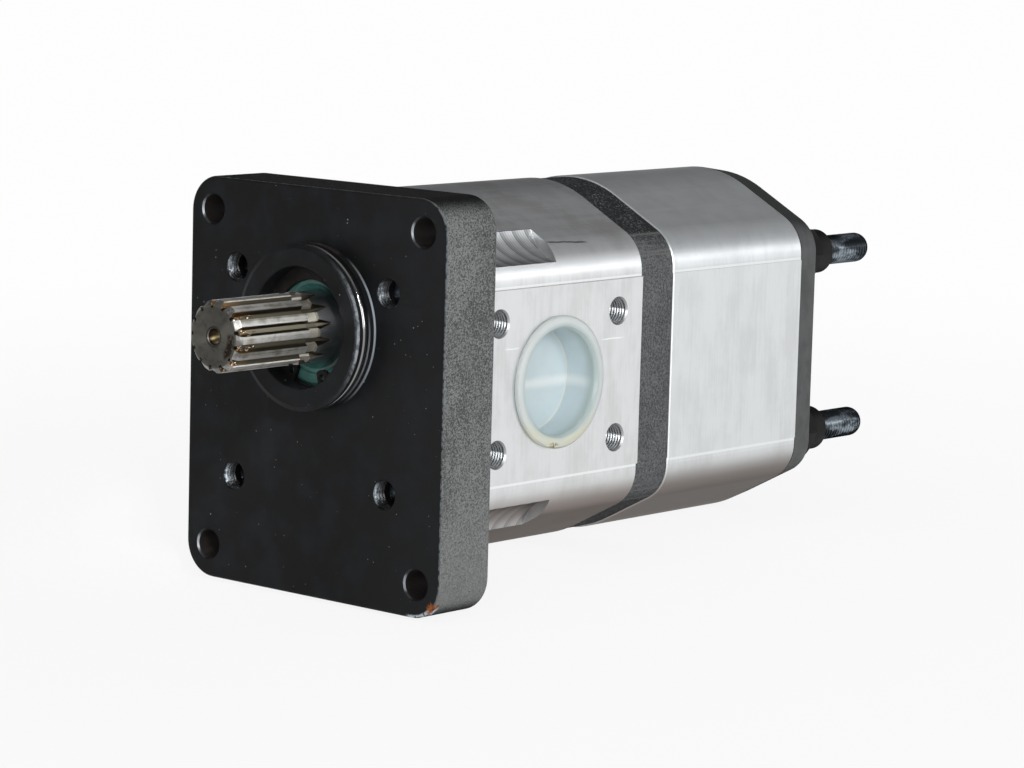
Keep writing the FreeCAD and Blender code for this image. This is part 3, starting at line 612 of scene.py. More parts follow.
    def foot_lines(self, shade: Shader, radius: Field) -> Field:
        """Painted highlights: thin bright rings at the right, on the collar's foot on the face and on its
        groove's rear edge.

        Args:
            shade: the shader that is being drawn.
            radius: distance from the shaft's axis.

        Returns:
            The mask.
        """
        foot = radius.window(*self.foot_ring, 0.0001) * shade.y.band(-0.0006, -0.0004)
        foot = foot * shade.x.band(0.012, 0.0258) * shade.y.band(0.0004, 0.0006, 0.7, 0.0)
        rear = shade.y.window(*self.groove_edge, 0.0001) * radius.window(*self.groove_ring, 0.0001)
        return foot.larger(rear * shade.z.band(-0.002, 0.008, 0.35, 0.0) * shade.x.band(0.012, 0.022))

    def bare_edge(self, shade: Shader, gap: Field) -> Field:
        """Sliver of bare metal along the front edge of the lower right corner.

        Args:
            shade: the shader that is being drawn.
            gap: distance to the flange's outline.

        Returns:
            The mask.
        """
        place = shade.x.window(*self.bare_x, 0.0010) * shade.z.fall(*self.bare_z)
        rim = gap.band(-0.0013, -0.0006) * shade.y.fall(0.0024, 0.0032)
        return place * rim * shade.noise(0.0015).band(0.38, 0.52)

    def rust_mask(self, shade: Shader, gap: Field) -> tuple[Field, Field]:
        """Rust where the lower right corner was knocked bare, and how deep its tone is.

        Args:
            shade: the shader that is being drawn.
            gap: distance to the flange's outline.

        Returns:
            The mask and the tone.
        """
        place = shade.x.window(*self.rust_x, 0.0009) * shade.z.fall(*self.rust_z)
        rim = gap.band(-0.0026, -0.0014) * shade.y.fall(0.0015, 0.0030)
        patch = shade.noise(0.0018, 4.0, 0.65)
        return place * (rim * patch.band(0.42, 0.52)), patch.band(0.52, 0.62)


@dataclass(frozen=True)
class PlateSkin:
    """Dark cast skin of the plate, with ground lines round its corners and painted shade on the faces that
    don't look sideways.
    """

    name: str = "cast_plate"
    pit: Colour = (0.050, 0.052, 0.054)
    grain: Colour = (0.166, 0.172, 0.179)
    # Colour of the painted shade on the faces that don't look sideways.
    shoulder: Colour = (0.009, 0.0095, 0.010)
    ground: Colour = (0.13, 0.13, 0.13)
    grain_size: float = 0.0008
    relief_depth: float = 0.00030

    def material(self) -> Material:
        """Builds the material.

        Returns:
            The material.
        """
        shade = Shader(self.name, self.grain, 0.58)
        shade.give({"Specular IOR Level": 0.12})
        fine, finer, wide, speckle = shade.cast_grain(self.grain_size, 0.010)
        side = abs(shade.face_x).band(0.45, 0.96)
        shoulder = shade.mix(speckle.band(0.54, 0.64, 0.0, 0.9), self.shoulder, self.grain)
        corner = abs(shade.above).window(0.0335, 0.0430, 0.0015)
        ground = shade.noise(0.0011, 2.0, streak=Streak.LENGTHWISE)
        mottled = speckle.band(0.38, 0.66)
        # Painted shade: faces that don't look sideways are darkened.
        colour = shade.layers(self.pit, (mottled, self.grain), ((1.0 - side) * 0.88, shoulder),
                              (corner * ground.band(0.52, 0.62), self.ground))
        height = fine + finer * 0.5 + corner * ground * 1.5
        return shade.finish(colour, wide * 0.12 + side * -0.3 + 0.78, height, self.relief_depth, 0.9)


@dataclass(frozen=True)
class CoverPaint:
    """Smooth dark grey paint with a faint mottle and painted shade on the faces that don't look sideways,
    used on the rear cover and its nuts.
    """

    name: str
    colour: Colour = (0.074, 0.078, 0.079)
    dust: Colour = (0.3, 0.3, 0.29)
    # Share of the colour left where the painted shade falls.
    painted_shade_share: float = 0.28
    gloss: float = 0.2
    roughness: float = 0.36
    mottle: float = 0.006
    relief_depth: float = 0.00006

    def material(self) -> Material:
        """Builds the material.

        Returns:
            The material.
        """
        shade = Shader(self.name, self.colour, self.roughness)
        shade.give({"Specular IOR Level": self.gloss})
        mottle = shade.noise(self.mottle, 4.0, 0.6)
        side = abs(shade.face_x).band(0.5, 0.95)
        colour = shade.layers(self.colour, (mottle.band(0.35, 0.7), dimmed(self.colour, 0.74)),
                              # Painted shade on the faces that don't look sideways.
                              (1.0 - side, dimmed(self.colour, self.painted_shade_share)),
                              (shade.specks(0.0032, 0.0002, 0.14) * 0.6, self.dust))
        rough = mottle * 0.22 + side * -0.3 + (self.roughness + 0.3)
        return shade.finish(colour, rough, shade.noise(0.0014, 2.0) + mottle * 0.4, self.relief_depth, 0.7)


@dataclass(frozen=True)
class ShaftSteel:
    """Ground steel of the drive shaft: bright tooth crests, oily brown gaps and a dirty front end."""

    name: str = "oiled_shaft_steel"
    crest: Colour = (0.74, 0.73, 0.70)
    oiled_crest: Colour = (0.32, 0.30, 0.245)
    floor: Colour = (0.150, 0.139, 0.104)
    flank: Colour = (0.050, 0.044, 0.033)
    journal: Colour = (0.36, 0.375, 0.39)
    groove: Colour = (0.42, 0.40, 0.35)
    end_face: Colour = (0.100, 0.097, 0.084)
    end_rim: Colour = (0.108, 0.104, 0.092)
    notch: Colour = (0.006, 0.0055, 0.0045)
    dirt: Colour = (0.020, 0.013, 0.009)
    amber: Colour = (0.20, 0.105, 0.035)
    gold: Colour = (0.27, 0.22, 0.11)
    silver: Colour = (0.33, 0.34, 0.35)
    groove_start: float = -0.0127
    groove_end: float = -0.0086
    floor_radius: float = 0.00915
    crest_radius: float = 0.0109
    hole_radius: float = 0.0026
    hole_depth: Span = (0.006, 0.007)
    chamfer_depth: Span = (0.0022, 0.0026)
    amber_depth: Span = (0.0010, 0.0105)
    notch_depth: Span = (0.0012, 0.0016)
    journal_radius: Span = (0.01085, 0.01095)
    notch_radius: Span = (0.0084, 0.0088)
    rim_radius: Span = (0.0086, 0.0092)
    crescent_radius: Span = (0.0058, 0.0084)
    crescent_z: Span = (-0.0062, 0.0012)
    relief_depth: float = 0.000007

    def material(self) -> Material:
        """Builds the material.

        Returns:
            The material.
        """
        shade = Shader(self.name, self.journal, 0.4, 1.0)
        tangent = shade.output("Tangent", "Tangent", {}, direction_type="RADIAL", axis="Y")
        shade.give({"Anisotropic": 0.75, "Anisotropic Rotation": 0.25, "Tangent": tangent})
        radius = shade.reach()
        film = shade.noise(0.0045)
        drawn = shade.noise(0.0006, 2.0, streak=Streak.LENGTHWISE)
        worn = shade.noise(0.0016, 4.0, 0.65, Streak.LENGTHWISE)
        clots = (film * 0.45 + worn * 0.55).band(0.40, 0.54)
        low = radius.fall(self.crest_radius - 0.00045, self.crest_radius - 0.0002)
        on_floor = radius.fall(self.floor_radius + 0.00015, self.floor_radius + 0.0004)
        gaps = shade.layers(self.flank, (on_floor, self.floor),
                            (self.near_front(shade, *self.amber_depth) * clots * 0.6, self.amber))
        crest = shade.mix((film * 0.4 + worn * 0.6).band(0.44, 0.62), self.crest, self.oiled_crest)
        chamfer = self.near_front(shade, *self.chamfer_depth) * abs(shade.face_y).band(0.25, 0.45)
        chamfered = shade.mix(clots, dimmed(self.crest, 0.45), dimmed(self.crest, 0.2))
        ring = shade.y.window(self.groove_start, self.groove_end, 0.0001)
        toothed = shade.y.fall(self.groove_start - 0.0001, self.groove_start + 0.0001)
        end = abs(shade.face_y).band(0.9, 0.97) * self.near_front(shade, 0.0001, 0.0003)
        cone = radius.fall(self.hole_radius - 0.0002, self.hole_radius)
        cone = cone * self.near_front(shade, *self.hole_depth)
        colour = shade.layers(dimmed(self.flank, 1.6), (radius.band(*self.journal_radius), self.journal),
                              (ring, shade.mix(on_floor, self.groove, dimmed(self.floor, 0.7))),
                              (toothed, shade.layers(crest, (low, gaps), (chamfer, chamfered))),
                              (end, self.end_colour(shade, radius, film)),
                              (self.notches(shade, radius), self.notch),
                              (cone, self.hole_lining(shade, radius)))
        ground = shade.y.band(self.groove_end, self.groove_end + 0.0002) * -0.06
        rough = film * 0.14 + drawn * 0.06 + low * 0.08 + 0.28 + cone * -0.12 + ground
        height = drawn * 0.5 + shade.noise(0.0004, 2.0) * 0.08 + film * 0.6
        return shade.finish(colour, rough, height, self.relief_depth)

    @staticmethod
    def near_front(shade: Shader, low: float, high: float) -> Field:
        """One up to a low distance behind the shaft's front end, falling to zero at a high one."""
        return shade.y.fall(SHAFT_FRONT + low, SHAFT_FRONT + high)

    def hole_lining(self, shade: Shader, radius: Field) -> Field:
        """Colour inside the centre hole: golden at the left, silvery at the right, with a shadow above.

        Args:
            shade: the shader that is being drawn.
            radius: distance from the shaft's axis.

        Returns:
            The colour.
        """
        shadow = (shade.x + shade.z * -1.1).band(-0.0024, -0.0008, 0.85, 0.0)
        return shade.layers(self.silver, (shade.x.fall(-0.0010, 0.0), self.gold), (shadow, self.dirt),
                            (radius.band(0.0016, 0.0024), self.dirt))

    def notches(self, shade: Shader, radius: Field) -> Field:
        """Dirt in front of each gap, which notches the rim: the cosine of the teeth times the angle.

        Args:
            shade: the shader that is being drawn.
            radius: distance from the shaft's axis.

        Returns:
            The mask.
        """
        turn = (shade.z.angle_over(shade.x) - math.radians(TOOTH_PHASE)) * float(TEETH)
        gaps = turn.cosine().band(0.62, 0.82) * radius.band(*self.notch_radius)
        return gaps * self.near_front(shade, *self.notch_depth)

    def end_colour(self, shade: Shader, radius: Field, film: Field) -> Field:
        """Colour of the shaft's front face: olive grey, dark round the centre, dirty at the right.

        Args:
            shade: the shader that is being drawn.
            radius: distance from the shaft's axis.
            film: the oil film.

        Returns:
            The colour.
        """
        round_hole = radius.window(self.hole_radius - 0.0004, self.hole_radius + 0.0006, 0.0003)
        grime_and_painted_reflection = shade.noise(0.0022, 4.0, 0.6).band(0.50, 0.64)
        crescent = radius.window(*self.crescent_radius, 0.0007) * shade.z.window(*self.crescent_z, 0.0008)
        crescent = crescent * shade.x.band(0.0035, 0.0050) * shade.noise(0.0011, 4.0, 0.6).band(0.34, 0.50)
        return shade.layers(self.end_face, (film, dimmed(self.end_face, 0.62)),
                            (radius.band(*self.rim_radius), self.end_rim), (round_hole * 0.7, self.dirt),
                            (grime_and_painted_reflection * 0.5, dimmed(self.end_face, 0.45)), (crescent, self.dirt))


@dataclass(frozen=True)
class ClipSteel:
    """Phosphated black steel of the clip that keeps the seal in."""

    name: str = "phosphated_clip"
    colour: Colour = (0.007, 0.0065, 0.006)
    film_colour: Colour = (0.016, 0.013, 0.012)
    roughness: float = 0.55
    ripple: float = 0.00003
    gloss: float = 0.12

    def material(self) -> Material:
        """Builds the material.

        Returns:
            The material.
        """
        shade = Shader(self.name, self.colour, self.roughness)
        shade.give({"Specular IOR Level": self.gloss})
        film = shade.noise(0.0026, 4.0, 0.6)
        colour = shade.mix(film.band(0.4, 0.72), self.colour, self.film_colour)
        rough = film * 0.22 + (self.roughness - 0.11)
        return shade.finish(colour, rough, film + shade.noise(0.0006) * 0.5, self.ripple)


@dataclass(frozen=True)
class BoltSteel:
    """Black oiled bolt steel, whose gloss breaks into wavy patches along the bolt."""

    name: str = "glossy_black_bolts"
    colour: Colour = (0.050, 0.057, 0.064)
    glint: Colour = (0.30, 0.345, 0.38)
    edge_tint: Colour = (0.03, 0.03, 0.03)
    relief_depth: float = 0.00012

    def material(self) -> Material:
        """Builds the material.

        Returns:
            The material.
        """
        shade = Shader(self.name, self.colour, 0.22, 1.0)
        shade.give({"Specular Tint": self.edge_tint})
        waves = shade.noise(0.0042, streak=Streak.BOLT)
        fine = shade.noise(0.0009)
        colour = shade.mix((waves * 0.8 + fine * 0.2).band(0.44, 0.60), self.colour, self.glint)
        return shade.finish(colour, fine * 0.12 + 0.16, waves + fine * 0.3, self.relief_depth)


@dataclass(frozen=True)
class TappedSteel:
    """Cut iron thread of the flange's tapped holes: painted light on the left wall near the mouth, painted
    shade deeper in.
    """

    name: str = "tapped_flange_iron"
    bright: Colour = (0.46, 0.52, 0.57)
    dark: Colour = (0.008, 0.0085, 0.0095)
    bright_until: float = 0.0046
    relief_depth: float = 0.00003

    def material(self) -> Material:
        """Builds the material.

        Returns:
            The material.
        """
        shade = Shader(self.name, self.dark, 0.34, 0.35)
        streaks = shade.noise(0.0014, 3.0, 0.6).band(0.40, 0.58, 0.15, 1.0)
        # Painted light: only the wall that faces right, near the mouth, is bright; the rest is painted shade.
        lit = shade.y.fall(0.0008, self.bright_until) * shade.face_x.band(0.45, 0.90) * streaks
        rough = shade.noise(0.0006).band(0.3, 0.7, 0.18, 0.34)
        return shade.finish(shade.mix(lit, self.dark, self.bright), rough, streaks, self.relief_depth)


@dataclass(frozen=True)
class PortThreadAluminium:
    """Cut aluminium thread of the port screws: painted shade above the hole's axis, painted light below it
    and a painted highlight line along it.
    """

    name: str
    half_z: float
    bright: Colour = (0.90, 0.92, 0.94)
    lit: Colour = (0.66, 0.69, 0.71)
    # Colour of the painted shade on the upper half of each hole.
    painted_upper_shade: Colour = (0.25, 0.255, 0.26)
    relief_depth: float = 0.00003

    def material(self) -> Material:
        """Builds the material from the height above each hole's own axis.

        Returns:
            The material.
        """
        shade = Shader(self.name, self.bright, 0.32, 0.9)
        height = (abs(shade.above) - self.half_z) * shade.above.sign()
        # Painted light on the lower half of each hole, painted shade on the upper half.
        lower = (height + (shade.noise(0.0016) - 0.5) * 0.0012).fall(-0.0004, 0.0005)
        # Painted highlight: a bright line just below each hole's axis.
        line = abs(height + 0.0002).fall(0.0002, 0.00055)
        colour = shade.layers(self.painted_upper_shade, (lower, self.lit), (line, self.bright))
        rough = shade.noise(0.0008).band(0.3, 0.7, 0.24, 0.40)
        return shade.finish(colour, rough, shade.noise(0.0005), self.relief_depth)


@dataclass(frozen=True)
class SealRubber:
    """Moulded rubber with fine turned rings round the shaft."""

    name: str
    colour: Colour = (0.030, 0.101, 0.088)
    roughness: float = 0.42
    ring_pitch: float = 0.00055
    oil: float = 0.0
    coat_index: float = 1.9
    waves: float = 0.00006
    shaded: bool = False

    def material(self) -> Material:
        """Builds the material, dark at the right of the shaft where it is shaded.

        Returns:
            The material.
        """
        shade = Shader(self.name, self.colour, self.roughness)
        shade.give({"Coat Weight": self.oil, "Coat Roughness": 0.12, "Coat IOR": self.coat_index})
        rings = (shade.reach() * (2.0 * math.pi / self.ring_pitch)).sine()
        film = shade.noise(0.0035)
        colour = shade.mix(film.band(0.4, 0.7), self.colour, dimmed(self.colour, 1.5))
        if self.shaded:
            beside = shade.x.band(0.0020, 0.0055) * shade.z.window(-0.0125, 0.0130, 0.0012)
            colour = shade.mix(beside * 0.92, colour, dimmed(self.colour, 0.06))
        return shade.finish(colour, film * 0.25 + (self.roughness - 0.12), rings * 0.25 + film, self.waves)


@dataclass(frozen=True)
class MilkyPlastic:
    """Translucent soft plastic of the shipping plugs, yellowed at the foot of the lip, with a painted
    highlight band across the middle.
    """

    name: str
    colour: Colour = (0.62, 0.72, 0.75)
    shallow: Colour = (0.46, 0.545, 0.53)
    # Colour of the painted highlight band across the cup.
    streak: Colour = (0.84, 0.89, 0.89)
    lip: Colour = (0.63, 0.68, 0.67)
    yellow: Colour = (0.66, 0.66, 0.50)
    seam: Colour = (0.75, 0.79, 0.745)
    dirt: Colour = (0.22, 0.16, 0.05)
    scatter: Colour = (0.004, 0.0045, 0.0045)
    lip_middle: float = 0.0181
    lip_half: float = 0.0024
    floor_from_face: float = 0.0105
    spot_radius: Span = (0.0188, 0.0204)
    yellow_from: float = 0.008
    yellow_full: float = 0.018
    relief_depth: float = 0.00008

    def material(self, port_y: float) -> Material:
        """Builds the material.

        Args:
            port_y: the port's place along the body.

        Returns:
            The material.
        """
        shade = Shader(self.name, self.colour, 0.24)
        shade.give({"IOR": 1.5, "Transmission Weight": 0.06, "Subsurface Weight": 0.30,
                    "Subsurface Radius": self.scatter, "Subsurface Scale": 1.0})
        outwards = abs(shade.x)
        radius = shade.reach((0.0, 1.0, 1.0), (0.0, port_y, MIDDLE_Z))
        across = (radius - self.lip_middle) / self.lip_half
        on_lip = outwards.band(PORT_FACE - 0.0002, PORT_FACE + 0.0002)
        cloud = shade.noise(0.008)
        fine = shade.noise(0.0009)
        # Painted highlight: a lighter cloudy band across the middle of the cup.
        streak = abs(shade.z + (0.0010 - MIDDLE_Z) + cloud * 0.0012).band(0.0001, 0.0026, 0.75, 0.0)
        inside = PORT_FACE - self.floor_from_face
        seam = outwards.window(inside - 0.0002, inside + 0.0003, 0.0003)
        seam = seam * radius.band(self.lip_middle - 0.0025, self.lip_middle - 0.0021)
        near_face = outwards.band(PORT_FACE - 0.004, PORT_FACE + 0.0002)
        body = shade.layers(self.colour, (cloud.band(0.35, 0.7), dimmed(self.colour, 0.95)),
                            (streak, self.streak), (seam * 0.6, self.seam), (near_face, self.shallow))
        below = shade.z.fall(MIDDLE_Z - self.yellow_full, MIDDLE_Z - self.yellow_from)
        yellowed = below * shade.noise(0.005).band(0.32, 0.62, 0.35, 1.0) * across.band(-0.5, 0.2)
        spot = radius.window(*self.spot_radius, 0.0004)
        spot = spot * shade.y.window(port_y - 0.0045, port_y - 0.0012, 0.0012)
        rim = shade.layers(self.lip, (across.fall(-0.30, 0.35), self.shallow), (yellowed, self.yellow),
                           (spot * below * fine.band(0.40, 0.55), self.dirt))
        height = cloud + fine * 0.15 + across ** 2.0 * -8.0 * on_lip
        rough = cloud * 0.16 + fine * 0.08 + 0.20
        return shade.finish(shade.mix(on_lip, body, rim), rough, height, self.relief_depth)


@dataclass(frozen=True)
class InnerFinish:
    """Plain machined finish of a piece that lies inside the pump."""

    name: str
    colour: Colour
    roughness: float
    metallic: float
    grain: float = 0.0012
    relief_depth: float = 0.00003

    def material(self) -> Material:
        """Builds the material.

        Returns:
            The material.
        """
        shade = Shader(self.name, self.colour, self.roughness, self.metallic)
        drawn = shade.noise(self.grain, streak=Streak.LENGTHWISE)
        film = shade.noise(self.grain * 6.0)
        colour = shade.mix(film.band(0.4, 0.7), self.colour, dimmed(self.colour, 0.78))
        return shade.finish(colour, drawn * 0.2 + (self.roughness - 0.1), drawn, self.relief_depth)


@dataclass(frozen=True)
class GreaseFinish:
    """Brown grease with bright flakes of metal."""

    name: str = "flaky_brown_grease"
    colour: Colour = (0.115, 0.098, 0.060)
    rusty: Colour = (0.24, 0.125, 0.048)
    flake: Colour = (0.72, 0.68, 0.58)
    relief_depth: float = 0.00015

    def material(self) -> Material:
        """Builds the material.

        Returns:
            The material.
        """
        shade = Shader(self.name, self.colour, 0.22)
        shade.give({"Coat Weight": 0.6, "Coat Roughness": 0.12})
        tone = shade.noise(0.0011)
        rusty = shade.noise(0.0024).band(0.50, 0.60) * shade.x.band(0.002, 0.006)
        colour = shade.layers(self.colour, (tone, dimmed(self.colour, 0.4)), (rusty, self.rusty),
                              (shade.specks(0.0007, 0.0003, 0.35), self.flake))
        return shade.finish(colour, tone * 0.3 + 0.06, tone, self.relief_depth)


class Sheet:
    """Meshes made from grids of points."""

    @staticmethod
    def quads(copies: int, rows: int, columns: int, closed: bool) -> np.ndarray:
        """Corner numbers of the faces between neighbouring points of equal grids.

        A face joins the points (r, c), (r, c + 1), (r + 1, c + 1) and (r + 1, c), and in a closed
        grid the last column is followed by the first.

        Args:
            copies: how many grids lie one after another.
            rows: points along the first parameter.
            columns: points along the second parameter.
            closed: whether the second parameter goes round.

        Returns:
            An array of four corner numbers a face.
        """
        row = np.arange(rows - 1)[:, None]
        column = np.arange(columns if closed else columns - 1)[None, :]
        following = (column + 1) % columns
        corners = [row * columns + column, row * columns + following,
                   (row + 1) * columns + following, (row + 1) * columns + column]
        one = np.stack([c.ravel() for c in corners], 1)
        shift = (np.arange(copies) * rows * columns)[:, None, None]
        return (one[None] + shift).reshape(-1, 4)

    @staticmethod
    def piece(name: str, points: np.ndarray, closed: bool, sharp_degrees: float = 35.0) -> Object:
        """Puts one or more grids of points into one object.

        Args:
            name: the piece's name.
            points: coordinates, as copies by rows by columns by three.
            closed: whether the columns go round.
            sharp_degrees: edges that turn by more than this stay sharp.

        Returns:
            The new object, with doubled points merged and its faces turned outwards.
        """
        mesh = bpy.data.meshes.new(name)
        mesh.from_pydata(points.reshape(-1, 3), [], Sheet.quads(*points.shape[:3], closed))
        shape = bmesh.new()
        shape.from_mesh(mesh)
        bmesh.ops.remove_doubles(shape, verts=shape.verts, dist=2e-7)
        bmesh.ops.dissolve_degenerate(shape, dist=1e-8, edges=shape.edges)
        bmesh.ops.recalc_face_normals(shape, faces=shape.faces)
        shape.to_mesh(mesh)
        shape.free()
        mesh.shade_smooth()
        mesh.set_sharp_from_angle(angle=math.radians(sharp_degrees))
        piece = bpy.data.objects.new(name, mesh)
        bpy.context.scene.collection.objects.link(piece)
        return piece

    @staticmethod
    def round_grid(columns: int, stations: np.ndarray) -> tuple[np.ndarray, np.ndarray]:
        """Angles of a full turn and distances along the axis, each as stations by columns."""
        return np.meshgrid(np.linspace(0, 2 * np.pi, columns, endpoint=False), stations)

    @staticmethod
    def turned(radius: np.ndarray, along: np.ndarray, angle: np.ndarray, axis: Along,
               centres: np.ndarray) -> np.ndarray:
        """Points of turned surfaces round axes that are parallel to a row axis.

        A point is its centre, plus the distance along the axis, plus the radius times the cosine
        and the sine of the angle along the two other row axes.

        Args:
            radius: radii, as rows by columns.
            along: distances along the outward axis from the centre, of the same shape.
            angle: angles, of the same shape.
            axis: the outward axis.
            centres: the copies' centres, as copies by three.

        Returns:
            Coordinates, as copies by rows by columns by three.
        """
        outward = np.array(axis.value)
        first = np.array([0.0, 1.0, 0.0]) if abs(outward[1]) < 0.5 else np.array([1.0, 0.0, 0.0])
        second = np.array([0.0, 0.0, 1.0])
        shape = (along[..., None] * outward + (radius * np.cos(angle))[..., None] * first
                 + (radius * np.sin(angle))[..., None] * second)
        return centres[:, None, None, :] + shape[None]


@dataclass(frozen=True)
class Thread:
    """A screw thread's shape."""

    pitch: float
    depth: float
    crest_share: float = 0.16
    root_share: float = 0.24

    def cut(self, along: np.ndarray, angle: np.ndarray) -> np.ndarray:
        """Depth of a right-hand thread below its crest.

        The phase is the distance along the axis over the pitch, plus the angle over a full turn.
        Its fraction gives a triangle wave, cut flat at the crest and at the root.

        Args:
            along: distances along the axis.
            angle: angles round it.

        Returns:
            The depth in metres.
        """
        phase = along / self.pitch + angle / (2.0 * np.pi)
        wave = np.abs(2.0 * (phase - np.floor(phase)) - 1.0)
        slope = (wave - self.crest_share) / (1.0 - self.crest_share - self.root_share)
        smooth = np.clip(slope, 0.0, 1.0)
        return self.depth * smooth * smooth * (3.0 - 2.0 * smooth)


@dataclass
class TieBolts:
    """The four long tie bolts, with coated threads on their free rear ends."""

    node: str = "tie_bolts"
    radius: float = 0.005
    shank_radius: float = 0.0046
    front: float = 0.006
    tip: float = 0.2373
    tip_round: float = 0.0036
    tip_flat: float = 0.00225
    front_chamfer: float = 0.001
    thread_from: float = 0.2149
    station_step: float = 0.00011
    thread_start: float = 0.0012
    thread_end: float = 0.002
    columns: int = 56
    thread: Thread = Thread(0.0015, 0.00012)
    finish: BoltSteel = BoltSteel()

    def centres(self) -> np.ndarray:
        """The bolts' axes, read from the CAD node's corners: the middle of each separate bolt.

        Returns:
            The axes' places, as four by three.
        """
        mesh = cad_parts[self.node].data
        points = np.zeros(len(mesh.vertices) * 3)
        mesh.vertices.foreach_get("co", points)
        points = points.reshape(-1, 3)
        groups = [points[(np.sign(points[:, 0]) == sx) & ((points[:, 2] > MIDDLE_Z) == up)]
                  for sx in (1.0, -1.0) for up in (True, False)]
        return np.array([(g.max(0) + g.min(0)) / 2 * (1.0, 0.0, 1.0) for g in groups])

    def outline(self, along: np.ndarray) -> np.ndarray:
        """Plain radius: a chamfer, a long shank, a short step up to the thread and a round tip.

        At the tip the radius falls from full to the flat's radius as the square root of one less
        the square of the share of the round that is passed.

        Args:
            along: distances along the axis.

        Returns:
            The radii.
        """
        chamfer = np.clip(along - self.front, 0.0, self.front_chamfer) - self.front_chamfer
        step = np.clip(along - self.thread_from, 0.0, self.radius - self.shank_radius)
        passed = np.clip((along - self.tip + self.tip_round) / self.tip_round, 0.0, 1.0)
        fall = (self.radius - self.tip_flat) * (1.0 - np.sqrt(1.0 - passed ** 2))
        return self.shank_radius + chamfer + step - fall

    def build(self) -> Object:
        """Builds the bolts in place of their plain solids.

        Returns:
            The new piece.
        """
        chamfer = self.front + self.front_chamfer * np.linspace(0.0, 1.0, 3)
        shank = np.linspace(self.front, self.thread_from, 12)
        rear = np.arange(self.thread_from, self.tip, self.station_step)
        cap = self.tip - self.tip_round * (1.0 - np.sin(np.linspace(0.0, np.pi / 2, 14)))
        stations = np.unique(np.round(np.concatenate([chamfer, shank, rear, cap]), 7))
        angle, along = Sheet.round_grid(self.columns, stations)
        begun = self.thread_from + self.radius - self.shank_radius
        fade = np.clip((along - begun) / self.thread_start, 0.0, 1.0)
        fade = fade * np.clip((self.tip - self.tip_round * 0.35 - along) / self.thread_end, 0.0, 1.0)
        radius = np.minimum(self.outline(along), self.radius - self.thread.cut(along, angle) * fade)
        pole = np.zeros((1, self.columns))
        radius = np.vstack([pole, radius, pole])
        along, angle = (np.vstack([grid[:1], grid, grid[-1:]]) for grid in (along, angle))
        points = Sheet.turned(radius, along, angle, Along.REAR, self.centres())
        piece = Sheet.piece("threaded_tie_bolts", points, True)
        piece.data.materials.append(self.finish.material())
        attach(piece, HOUSING)
        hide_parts(self.node)
        return piece


@dataclass
class ThreadLining:
    """Cut threads inside a group of screw holes."""

    name: str
    slot: str
    axis: Along
    centres: Sequence[Place]
    hole_radius: float
    mouth: float
    length: float
    thread: Thread
    steps_per_turn: float = 12.0
    gap: float = 0.00002
    columns: int = 48

    def build(self, material: Material) -> Object:
        """Builds the linings: a wall at the hole's radius less the thread's height, open at both ends.

        Args:
            material: the finish of the piece that the holes are cut in.

        Returns:
            The new piece.
        """
        step = self.thread.pitch / self.steps_per_turn
        stations = -np.arange(self.mouth, self.mouth + self.length, step)
        angle, along = Sheet.round_grid(self.columns, stations)
        crest = self.thread.depth - self.thread.cut(along, angle)
        ends = np.minimum(-along - self.mouth, self.mouth + self.length + along)
        radius = self.hole_radius - self.gap - crest * np.clip(ends / self.thread.pitch, 0.0, 1.0)
        points = Sheet.turned(radius, along, angle, self.axis, np.array(self.centres))
        piece = Sheet.piece(self.name, points, True)
        piece.data.flip_normals()
        piece.data.materials.append(material)
        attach(piece, HOUSING)
        return piece


